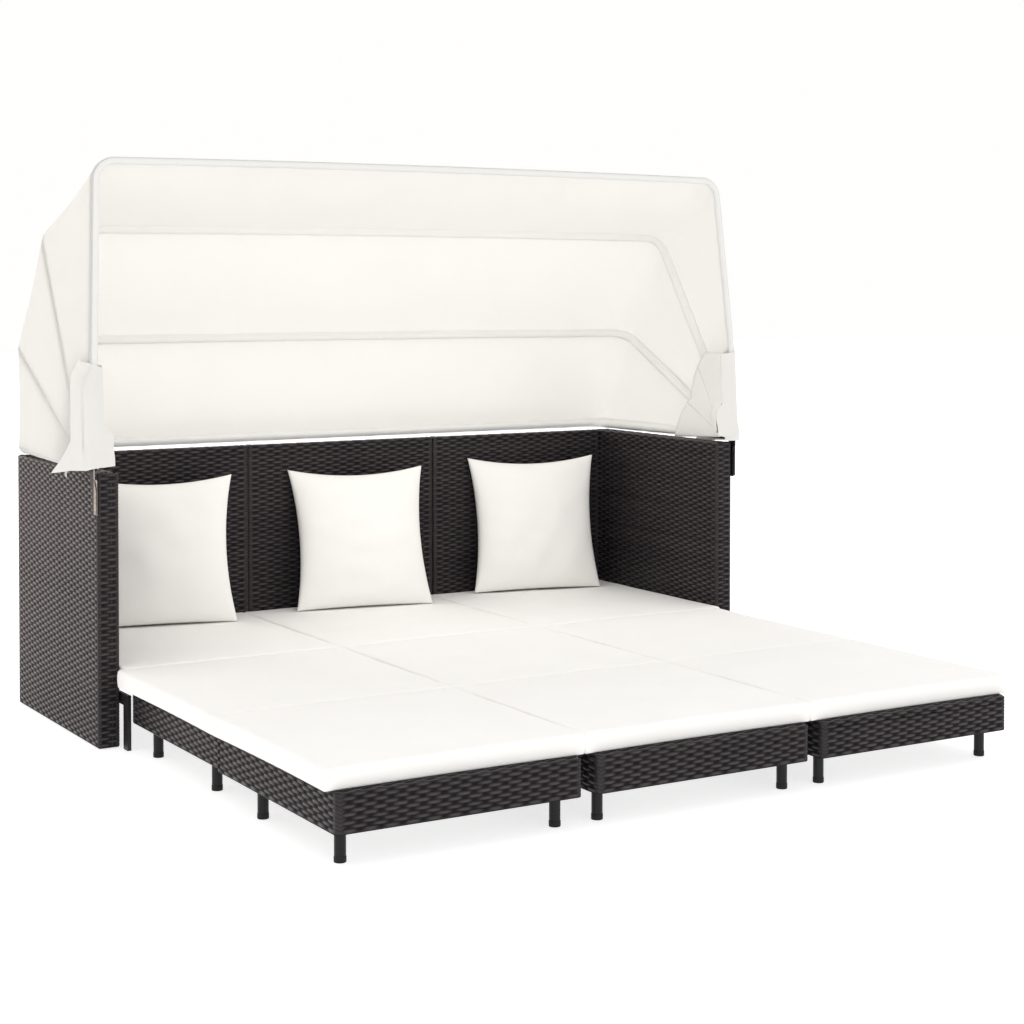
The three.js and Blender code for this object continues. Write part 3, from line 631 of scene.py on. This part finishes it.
def steel_tube(x, y, width, depth):
    """A square tube under the seat."""
    bpy.ops.mesh.primitive_cube_add(size=1, location=(x, y, tube_top - tube_height / 2),
                                    scale=(width, depth, tube_height))
    bpy.ops.object.transform_apply(location=False, rotation=False, scale=True)
    tube = bpy.context.object
    apply_modifier(tube, "BEVEL", width=0.0025, segments=3)
    tube.data.materials.append(leg_coat)
    return tube


def leg_frame(name, centre, reach, rear, front):
    left, right = centre - reach, centre + reach
    parts = []
    for x in (left, right):
        for y in (rear, front):
            leg = round_post(x, y, leg_foot, tube_top, leg_radius)
            leg.data.materials.append(leg_coat)
            cap = round_post(x, y, 0, cap_height, cap_radius)
            apply_modifier(cap, "BEVEL", width=cap_bevel, segments=3)
            cap.data.materials.append(foot_plastic)
            parts += [leg, cap]
    parts += [steel_tube(centre, y, right - left, tube_height) for y in (rear, front)]
    parts += [steel_tube(x, (rear + front) / 2, rail_width, rear - front - rail_width) for x in (left, right)]
    piece = joined(name, parts)
    bpy.ops.object.shade_smooth_by_angle(angle=radians(35))
    return piece


def add_leg_frames():
    for word, centre in column_centre.items():
        for row, (reach, rear, front) in leg_rows.items():
            piece = leg_frame(f"{word}_{row}_leg_frame", centre, reach, arm_front - rear, arm_front - front)
            finish_piece(piece, f"{word}_{row}_row", "leg_steel", f"{word}_{row}_row_frame")


# Seat cushions: foam blocks in sewn covers
cushion_cells = 44
side_draw = 0.0045  # the sides draw in by this between the corners
side_swell = 0.0028
seam_inset, seam_width = 0.0145, 0.0022


def cushion(name, node, seed):
    low, high = (np.array(corner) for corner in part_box(node))
    bpy.ops.mesh.primitive_cube_add(size=2)
    piece = newest(name)
    edit_all(piece, lambda: bpy.ops.mesh.subdivide(number_cuts=cushion_cells - 1))
    mesh = piece.data
    cube = vertex_places(mesh)
    s = np.sign(cube) * (1 - (1 - np.abs(cube)) ** 1.55)
    radius = (0.004 + 0.002 * (1 + s[:, 2]))[:, None]  # the lower edge is tighter than the upper one
    half = (high - low) / 2
    core = half - radius
    place = s * half
    # rounded edges: the part outside the core is pulled onto a quarter round
    over = np.maximum(np.abs(place) - core, 0)
    length = np.linalg.norm(over, axis=1)
    rounded = over * (np.maximum(over.max(1), 1e-9) / np.maximum(length, 1e-9))[:, None]
    place = np.sign(place) * (np.minimum(np.abs(place), core) + rounded)
    a, b, c = (place / half).T
    # sides draw in between the corners and swell at half height
    swell = side_swell * (1 - c ** 2)
    place[:, 0] += np.sign(a) * np.abs(a) ** 8 * (swell - side_draw * (1 - b ** 2))
    place[:, 1] += np.sign(b) * np.abs(b) ** 8 * (swell - side_draw * (1 - a ** 2))
    crown = (1 - a ** 4) * (1 - b ** 4)
    x, y = place[:, 0], place[:, 1]
    wavy = ripples(x, y, 0.16, seed) * 0.0007 + ripples(x, y, 0.07, seed + 3) * 0.0003
    place[:, 2] += np.where(c > 0, np.abs(c) ** 3 * (0.0048 * crown - 0.005 + wavy), 0)
    # sewn edge: a shallow valley just inside the top edge
    rims = [np.exp(-((size - np.abs(at) - seam_inset) / seam_width) ** 2) * (np.abs(along) < 0.96)
            for size, at, along in ((half[0], x, b), (half[1], y, a))]
    place[:, 2] -= np.where(c > 0.6, 0.0007 * np.maximum(*rims), 0)
    place += (low + high) / 2
    lay_vertices(mesh, place)
    lay_uv(mesh, np.stack([place[:, 0] + 0.2 * place[:, 2], place[:, 1] + 0.97 * place[:, 2]], 1))
    bpy.ops.object.shade_smooth()
    mesh.materials.append(cushion_cloth)
    return piece


def add_cushions():
    for i, word in enumerate(columns):
        for j, row in enumerate(("rear", "middle", "front")):
            node = f"{word}_{row}_cushion"
            piece = cushion(f"{word}_{row}_seat_cushion", node, 51 + 3 * i + j)
            body = "frame" if row == "rear" else f"{word}_{row}_row"
            finish_piece(piece, body, "cushion_cloth", node)
            if row != "rear":
                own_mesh(piece)


# Pillows
pillow_size, pillow_depth = 0.424, 0.118
pillow_corner = 0.004  # thickness left at the pointed corners
pillow_places = {  # to the side, and the angles of lean and turn
    "left": (0.013, 12, -12), "middle": (0.020, 15, -10), "right": (0.017, 10, -12)}


def pillow(name, aside, lean, turn, word, seed):
    line = np.linspace(-1, 1, 57)
    line = np.sign(line) * (1 - (1 - np.abs(line)) ** 1.35)
    u, w = np.meshgrid(line, line)
    swell = np.clip((1 - u ** 2) * (1 - w ** 2), 0, None) ** 0.45
    x = u * (pillow_size / 2 - 0.024 * (1 - w ** 2))
    z = w * (pillow_size / 2 - np.where(w < 0, 0.004, 0.024) * (1 - u ** 2))
    pleats = np.sin(95 * (x + z) + seed) * 0.0012 * np.exp(-((1 - np.abs(u)) / 0.16)) * (np.abs(w) > 0.5)
    folds = {sign: ripples(x * sign, z, 0.11, seed + sign) * 0.0022 for sign in (-1, 1)}
    z = z + pillow_size / 2  # it turns about its foot
    parts = []
    for sign in (-1, 1):
        y = sign * (0.0012 + swell * ((pillow_depth - pillow_corner) / 2 + folds[sign] + pleats))
        parts.append(laid_grid(name, np.stack([x, y, z], 2), x, z, pillow_cloth))
    piece = joined(name, parts)
    edit_all(piece, lambda: bpy.ops.mesh.remove_doubles(threshold=0.0026), bpy.ops.mesh.normals_make_consistent)
    a, b = radians(lean), radians(turn)
    x, y, z = vertex_places(piece.data).T
    y, z = y * cos(a) + z * sin(a), z * cos(a) - y * sin(a)
    x, y = x * cos(b) - y * sin(b), x * sin(b) + y * cos(b)
    low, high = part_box(f"{word}_pillow")
    lay_vertices(piece.data, np.stack([x + column_centre[word] + aside, y + high[1] - y.max(),
                                       z + low[2] - z.min()], 1))
    return piece


def add_pillows():
    for i, (word, (aside, lean, turn)) in enumerate(pillow_places.items()):
        piece = pillow(f"{word}_back_pillow", aside, lean, turn, word, 71 + i)
        finish_piece(piece, "frame", "cushion_cloth", f"{word}_pillow")


# Canopy: cloth over four bows that turn on the pivots
pivot_y, pivot_z = arm_front + 0.012, 0.715
cloth_lift = 0.0103  # from the tube's axis to the cloth
cloth_thickness = 0.0012
foot_end = 0.206  # the bows' feet run straight up to this distance from the pivots
cloth_start = 0.055  # the sheets begin at this one
hub_x = 1.0159
foot_x = {"front": 1.0166, "upper": 1.0123, "lower": 1.0047, "rear": 1.0004}  # the bows' feet lie side by side
bow_corner = 0.050
crossbar_arch = 0.006
leg_joggle = 0.045
left_lean = 0.020  # the front bow's left leg bends in this much above its foot
pocket_radius = {"front": 0.0090, "upper": 0.0089, "lower": 0.0089, "rear": 0.0112}
pocket_start = {"front": 0.204, "upper": 0.204, "lower": 0.188, "rear": 0.204}  # not beyond foot_end
seam_lap = 0.011
sheet_length = 3.3  # each sheet's cut along the bows
bow_body = {"front": "front_bow", "upper": "upper_bow", "lower": "lower_bow", "rear": "frame"}
canopy_sheets = (  # each sheet, the bows behind and before it, and the next one on
    ("rear", "rear", "lower", "upper"), ("middle", "lower", "upper", "front"), ("front", "upper", "front", None))
bows = {  # angle back from upright, reach, half width
    "front": (3.5, 0.778, 0.977),
    "upper": (32.5, 0.721, 1.006),
    "lower": (63.0, 0.661, 1.016),
    "rear": (90.0, 0.708, 0.975),
}


def bow_side(bow, lift, start_x, start_r, lean):
    """Points up one leg, round the corner and along half the crossbar, in the bow's plane, as (x, r)."""
    _, reach, half = bows[bow]
    corner = np.array([half + lift, reach + lift])
    foot = np.array([start_x - lean, foot_end + leg_joggle])
    along = (corner - foot) / np.linalg.norm(corner - foot)
    turn = pi - atan2(along[1], along[0])
    radius = bow_corner + lift
    arc_start = corner - along * radius * tan(turn / 2)
    centre = np.array([arc_start[0] - radius * along[1], arc_start[1] + radius * along[0]])
    side = [(start_x, start_r), (start_x, foot_end), tuple(foot), tuple(arc_start)]
    for i in range(1, 9):
        a = pi / 2 - turn + turn * i / 8
        side.append((centre[0] + radius * cos(a), centre[1] + radius * sin(a)))
    last_x = side[-1][0]
    side += [(last_x * (1 - i / 10), reach + lift) for i in range(1, 10)]
    return np.array(side), last_x


def bow_outline(bow, lift, start_x, start_r, count):
    """Points along one bow from the left foot to the right foot, in the bow's plane, as (x, r)."""
    left, last_x = bow_side(bow, lift, start_x, start_r, left_lean if bow == "front" else 0.0)
    right, last_x = bow_side(bow, lift, start_x, start_r, 0.0)
    whole = np.concatenate([left * (-1, 1), [[0, bows[bow][1] + lift]], right[::-1]])
    rise = np.where(np.abs(whole[:, 0]) > last_x + 1e-6, 0, crossbar_arch * (1 - (whole[:, 0] / last_x) ** 2))
    whole[:, 1] += rise * (whole[:, 1] > foot_end)
    # the legs, the corners and the crossbar each get their share of the stations
    distance = distance_along(whole)
    marks = distance[[0, 3, 11, -12, -4, -1]]
    legs, bends = count // 4, count // 16
    counts = (legs, bends, count - 2 * (legs + bends), bends, legs)
    stations = [np.linspace(a, b, n, endpoint=False) for a, b, n in zip(marks, marks[1:], counts)] + [marks[-1:]]
    stations = np.concatenate(stations)
    return np.stack([np.interp(stations, distance, whole[:, k]) for k in (0, 1)], 1)


def in_bow(bow, xr, across=0.0):
    a = radians(bows[bow][0])
    x, r = xr[..., 0], xr[..., 1]
    return np.stack([x, pivot_y + r * sin(a) + across * cos(a), pivot_z + r * cos(a) - across * sin(a)], -1)


def bow_point(bow, reach):
    """The point midway across, at a distance from the pivots."""
    return tuple(in_bow(bow, np.array([0.0, reach])))


def round_pivot(y, z):
    """Distance from the pivots' axis, and degrees back from upright."""
    return np.hypot(y - pivot_y, z - pivot_z), np.degrees(np.arctan2(y - pivot_y, z - pivot_z))


def above_pivot(z):
    """The heights, none of them at or below the pivots."""
    return np.maximum(z, pivot_z + 0.001)


def hub_layer(y, z):
    """Near the pivots the cloth lies further out towards the front, so that its folds lie over each other."""
    r, _ = round_pivot(y, z)
    _, angle = round_pivot(y, above_pivot(z))
    return 0.0018 * (1 - np.clip(angle, 0, 90) / 45) * np.clip((0.27 - r) / 0.08, 0, 1)


def sheet_area(points):
    rise, run = np.diff(points, axis=0), np.diff(points, axis=1)
    halves = [np.cross(rise[:, :-1], run[:-1]), np.cross(rise[:, 1:], run[1:])]
    return float(sum(np.linalg.norm(half, axis=2).sum() for half in halves) / 2)


def cloth_piece(name, points, u, v, material):
    piece = laid_grid(name, points, u, v, material)
    apply_modifier(piece, "SOLIDIFY", thickness=cloth_thickness, offset=0)
    return piece, sheet_area(points)


def cloth_line(bow, count):
    return in_bow(bow, bow_outline(bow, cloth_lift, hub_x + cloth_lift, cloth_start, count))


def canopy_sheet(name, rear_bow, front_bow, next_bow, seed, rows=26, count=240):
    """Cloth from one bow to the next, drawn tight over both and hanging slightly between them. Its front edge
    runs on under the next sheet as a seam allowance."""
    rear, front = cloth_line(rear_bow, count), cloth_line(front_bow, count)
    span = np.linalg.norm(front - rear, axis=1)[None]
    t = np.linspace(0, 1, rows)[:, None]
    points = rear * (1 - t[..., None]) + front * t[..., None]
    inward = np.array([0.0, pivot_y, pivot_z]) - points
    inward[..., 0] = 0
    inward /= np.linalg.norm(inward, axis=2, keepdims=True)
    u = np.linspace(0, sheet_length, len(rear))[None]
    v = t * span
    sag = 0.009 * np.minimum(1, span / 0.3) * (4 * t * (1 - t)) ** 2
    drape = 0.004 * np.minimum(1, span / 0.2) * 4 * t * (1 - t) * ripples(u, v, 0.55, seed)
    points += inward * (sag + drape)[..., None]
    if next_bow:
        ahead = cloth_line(next_bow, count) - front
        ahead /= np.maximum(np.linalg.norm(ahead, axis=1), 0.02)[:, None]
        under = np.cross(np.gradient(front, axis=0), ahead)
        under *= np.sign((under * (np.array(bow_point(front_bow, 0.35)) - front)).sum(1))[:, None]
        under /= np.linalg.norm(under, axis=1)[:, None]
        reach, _ = round_pivot(front[:, 1], front[:, 2])
        width = (seam_lap * np.clip((reach - 0.20) / 0.12, 0.2, 1))[:, None]
        points = np.concatenate([points, [front + ahead * width * k + under * 0.0024 for k in (0.25, 1.0)]])
        v = np.concatenate([v, v[-1:] + 0.3 * seam_lap, v[-1:] + seam_lap])
    points[..., 0] += np.sign(points[..., 0]) * hub_layer(points[..., 1], points[..., 2])
    return cloth_piece(name, points, np.repeat(u, len(points), 0), v + seed, canopy_cloth)


def bow_pocket(name, bow, seed):
    """The sewn sleeve that the bow runs through, from one foot to the other."""
    radius = pocket_radius[bow]
    line = in_bow(bow, bow_outline(bow, 0.0, foot_x[bow], pocket_start[bow], 300))
    tangent = np.gradient(line, axis=0)
    tangent /= np.linalg.norm(tangent, axis=1, keepdims=True)
    a = radians(bows[bow][0])
    plane = np.array([0, cos(a), -sin(a)])
    outward = np.cross(tangent, plane)
    outward *= np.sign((outward * (line - np.array(bow_point(bow, 0.35)))).sum(1))[:, None]
    # the section is round over the tube and runs out flat where the cloth is sewn to the sheet
    flat = 0.0097 / radius
    shares = np.array((0.25, 0.5, 0.75, 1.0))
    rounded = [(cos(k), sin(k)) for k in (0.3, 0.6, 0.9, 1.2)]
    level = [(1.0, flat * t ** 0.8) for t in shares]
    behind = rounded if bow == "rear" else level
    ahead = [(-x, y) for x, y in (rounded if bow == "front" else level)[::-1]]
    section = [(-cos(k), -sin(k)) for k in np.linspace(0, pi, 11)] + behind + [(0.5, 1.0), (0.0, 1.0), (-0.5, 1.0)]
    section = np.array(section + ahead + section[:1])[..., None]
    # the flat edge is narrow near the feet, where the folded bows stand close together
    reach, _ = round_pivot(line[:, 1], line[:, 2])
    room = np.clip(reach * tan(radians(2.8)) / radius, 1.0, 1.62) - 1
    spread = np.zeros((len(section), 1))
    spread[11:15, 0] = 0.0 if bow == "rear" else shares ** 1.6
    spread[18:22, 0] = 0.0 if bow == "front" else -shares[::-1] ** 1.6
    length = distance_along(line)
    turn = np.linspace(0, 2 * pi, len(section))[:, None]
    wobble = 0.0006 * np.sin(length * 60 + 3 * np.sin(turn) + seed) * np.sin(length * 17 + turn)
    girth = radius + wobble * (section[:, 1] < 0.3)
    points = (line + plane * ((section[:, 0] + spread * room) * girth)[..., None]
              + outward * (section[:, 1] * girth)[..., None])
    u, v = np.broadcast_arrays(length, turn * radius)
    piece = laid_grid(name, points, u, v, front_pocket_cloth if bow == "front" else pocket_cloth)
    turn_faces_out(piece)
    apply_modifier(piece, "SOLIDIFY", thickness=0.0009, offset=-1)
    return piece, float(length[-1]), sheet_area(points)


def side_x(y, z, lean):
    """How far out the side cloth stands, between the bows' legs."""
    r, angle = round_pivot(y, z)
    place = np.interp(angle, [bows[bow][0] for bow in bows], range(len(bows)))
    x = 0
    for i, bow in enumerate(bows):
        side, _ = bow_side(bow, cloth_lift, hub_x + cloth_lift, cloth_start, lean if bow == "front" else 0.0)
        x = x + np.interp(r, side[:4, 1], side[:4, 0]) * np.clip(1 - np.abs(place - i), 0, 1)
    return x


# The doubled patches at the canopy's lower front corners
flap_stops = (0, 0.2, 0.42, 0.7, 1)  # from the inner edge, round the bow, to the outer rear edge
flap_hem = {"left": (0.717, 0.712, 0.708, 0.700, 0.683), "right": (0.7035, 0.7035, 0.7035, 0.697, 0.683)}
flap_top = (0.966, 0.972, 0.978, 0.984, 0.989)
flap_front, flap_side = flap_stops[1:3]  # the flap turns round the bow between these
flap_rear = (  # the rear edge's heights and depths
    (0.683, 0.252), (0.715, 0.200), (0.776, 0.113), (0.881, 0.111), (0.943, 0.108), (0.989, 0.045))
patch_end = 3.5  # degrees that the inner patch runs on below the rear bow
patch_reach = {3.5: 0.256, 21: 0.270, 56: 0.200, 93: 0.250}  # the inner patches' length at angles from upright


def patch_x(y, z):
    """How far out the inner patch hangs. It droops inwards low down at the front."""
    r, angle = round_pivot(y, z)
    low = np.clip((0.105 - r) / 0.03, 0, 1) * np.clip((50 - angle) / 30, 0, 1)
    return 0.975 - 0.024 * low * low * (3 - 2 * low)


def flap_place(side, a, b, seed):
    """Where the flap's cloth lies: a runs from its inner edge round the bow to its rear edge, b from hem to top."""
    sign = -1 if side == "left" else 1
    lean = left_lean if side == "left" else 0.0
    z = np.interp(a, flap_stops, flap_hem[side]) * (1 - b) + np.interp(a, flap_stops, flap_top) * b
    leg, _ = bow_side("front", 0.0, foot_x["front"], 0.0, lean)
    tilt = radians(bows["front"][0])
    r = np.maximum((z - pivot_z) / cos(tilt), 0)
    leg_x = np.interp(r, leg[:4, 1], leg[:4, 0])
    leg_y = pivot_y + r * sin(tilt)
    girth = pocket_radius["front"] + 0.0022
    turn = np.clip((a - flap_front) / (flap_side - flap_front), 0, 1) * pi / 2
    facing = np.clip(1 - a / flap_front, 0, 1)
    x = leg_x + girth * np.sin(turn) - (leg_x - patch_x(leg_y, z)) * facing ** 1.2
    y = leg_y - girth * np.cos(turn) + 0.010 * facing ** 2
    y = y - 0.0075 * np.clip((0.765 - z) / 0.03, 0, 1) * np.clip((0.6 - a) / 0.18, 0, 1)  # over the hinge plate
    beside = a > flap_side
    along = np.clip((a - flap_side) / (1 - flap_side), 0, 1)
    rear = np.interp(z, *zip(*flap_rear)) + arm_front
    y = np.where(beside, leg_y + (rear - leg_y) * along, y)
    near_bow = 1 - np.clip(3 * along, 0, 1)
    level = above_pivot(z)
    out = side_x(y, level, lean) * near_bow + side_x(y, level, 0.0) * (1 - near_bow) + 0.0034 + hub_layer(y, z)
    flare = np.clip((pivot_z + 0.03 - z) / 0.05, 0, 1) * 0.006 * along
    x = np.where(beside, np.maximum(out, (leg_x + girth) * (1 - np.clip(along * 5, 0, 1))) + flare, x)
    loose = np.clip(1.1 - b, 0, 1) * beside * np.clip(along * 4, 0, 1)
    x = x + 0.0012 * loose * (1 + ripples(y, z, 0.09, seed))
    return np.stack([sign * x, y, z], 2)


def corner_flap(side, seed):
    """The patch's outer part, wrapped round the front bow's lower leg and hanging over the hinge. It is cut in
    three gores, which meet along the lines of the upper and the lower bow."""
    b = np.linspace(0, 1, 49)[:, None]
    beside = np.linspace(flap_side, 1, 400)
    spots = flap_place(side, np.repeat(beside[None], len(b), 0), b, seed)
    _, angle = round_pivot(spots[..., 1], above_pivot(spots[..., 2]))
    cuts = [np.array([np.interp(bows[bow][0], row, beside) for row in angle]) for bow in ("upper", "lower")]
    cuts = [np.zeros(len(b))] + cuts + [np.ones(len(b))]
    gores = (("front", "front", "upper", 48, "canopy_front_pocket"),
             ("middle", "upper", "lower", 14, "canopy_middle_sheet"),
             ("rear", "lower", "rear", 18, "canopy_rear_sheet"))
    for (word, first, last, across, under), low, high in zip(gores, cuts, cuts[1:]):
        a = low[:, None] + (high - low)[:, None] * np.linspace(0, 1, across + 1)
        points = flap_place(side, a, b, seed)
        piece, area = cloth_piece(f"canopy_{side}_corner_flap_{word}", points, points[..., 1], points[..., 2],
                                  patch_cloth)
        bpy.ops.object.shade_smooth_by_angle(angle=radians(50))
        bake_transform(piece)


def inner_patch(side, rear_bow, front_bow):
    """The patch's inner part between two bows, over the ends of their pockets."""
    sign = -1 if side == "left" else 1
    first = bows[rear_bow][0] + (patch_end if rear_bow == "rear" else 0)
    angle = np.linspace(first, bows[front_bow][0], 17)[:, None]
    start = 0.014
    reach = np.interp(angle, list(patch_reach), list(patch_reach.values()))
    r = start + (reach - start) * np.linspace(0, 1, 25)
    y = pivot_y + r * np.sin(np.radians(angle))
    z = np.maximum(pivot_z + r * np.cos(np.radians(angle)), 0.7008)
    x = patch_x(y, z) + 0.0008 * ripples(y, z, 0.12, 5)
    piece, area = cloth_piece(f"canopy_{side}_inner_patch_{rear_bow}", np.stack([sign * x, y, z], 2), y, z,
                              lining_cloth)
    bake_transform(piece)


def corner_tie(side):
    """A short sewn tie that hangs from the flap's hem."""
    sign = -1 if side == "left" else 1
    w, d = np.meshgrid(np.linspace(-0.006, 0.006, 5), np.linspace(0, 1, 13))
    x = hub_x + cloth_lift + 0.004 + 0.004 * np.sin(d * 2.4)
    y = arm_front + 0.139 + w + 0.004 * d ** 2
    z = 0.704 - 0.022 * d + 0.1 * w
    piece = laid_grid(f"canopy_{side}_tie", np.stack([sign * x, y, z], 2), y, z, canopy_cloth)
    apply_modifier(piece, "SOLIDIFY", thickness=0.0014, offset=0)
    finish_piece(piece, "frame", "canopy_cloth")


def add_canopy():
    for i, (word, rear_bow, front_bow, next_bow) in enumerate(canopy_sheets):
        piece, area = canopy_sheet(f"canopy_{word}_sheet", rear_bow, front_bow, next_bow, 81 + i)
        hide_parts(f"canopy_{word}_panel")
        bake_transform(piece)
    for i, bow in enumerate(("rear", "lower", "upper", "front")):
        piece, length, area = bow_pocket(f"canopy_{bow}_pocket", bow, 91 + i)
        finish_piece(piece, bow_body[bow], "canopy_cloth")
    for i, side in enumerate(("left", "right")):
        corner_flap(side, 97 + i)
        corner_tie(side)
        for _, rear_bow, front_bow, _ in canopy_sheets:
            inner_patch(side, rear_bow, front_bow)


def hinge_flange(side, sign, coat):
    """The folded front edge of a hinge plate, below the bows' feet."""
    bpy.ops.mesh.primitive_cube_add(size=1, location=(sign * 1.0050, arm_front - 0.0016, 0.6405),
                                    scale=(0.0094, 0.0028, 0.087))
    piece = newest(f"{side}_hinge_flange")
    bpy.ops.object.transform_apply(location=True, rotation=False, scale=True)
    edit_all(piece, lambda: bpy.ops.mesh.bevel(offset=0.0009, segments=3))
    piece.data.materials.append(coat)
    bpy.ops.object.shade_smooth_by_angle(angle=radians(40))
    finish_piece(piece, "frame", "black_steel")


def dress_frame():
    coats = {"steel_frame": black_coat, "seat_steel": black_coat, "leg_steel": leg_coat, "bow_tube": bow_coat,
             "black_steel": plate_coat, "zinc": zinc_plating, "weave": woven_strand,
             "cushion_cloth": cushion_cloth, "canopy_cloth": canopy_cloth}
    for part in frame["record"]["subparts"]:
        for held in frame["nodes"][part["node"]].material_slots:
            held.material = coats[part["material_slot"]]
    # the left hinge plate's forward faces get a painted highlight
    for held in frame["nodes"]["left_hinge_plate"].material_slots:
        held.material = front_highlight_plate_coat


add_camera()
add_studio()
dress_frame()
add_arms_and_backs()
add_middle_aprons()
add_front_aprons()
add_leg_frames()
add_cushions()
add_pillows()
add_canopy()
hinge_flange("left", -1, front_highlight_plate_coat)
hinge_flange("right", 1, plate_coat)
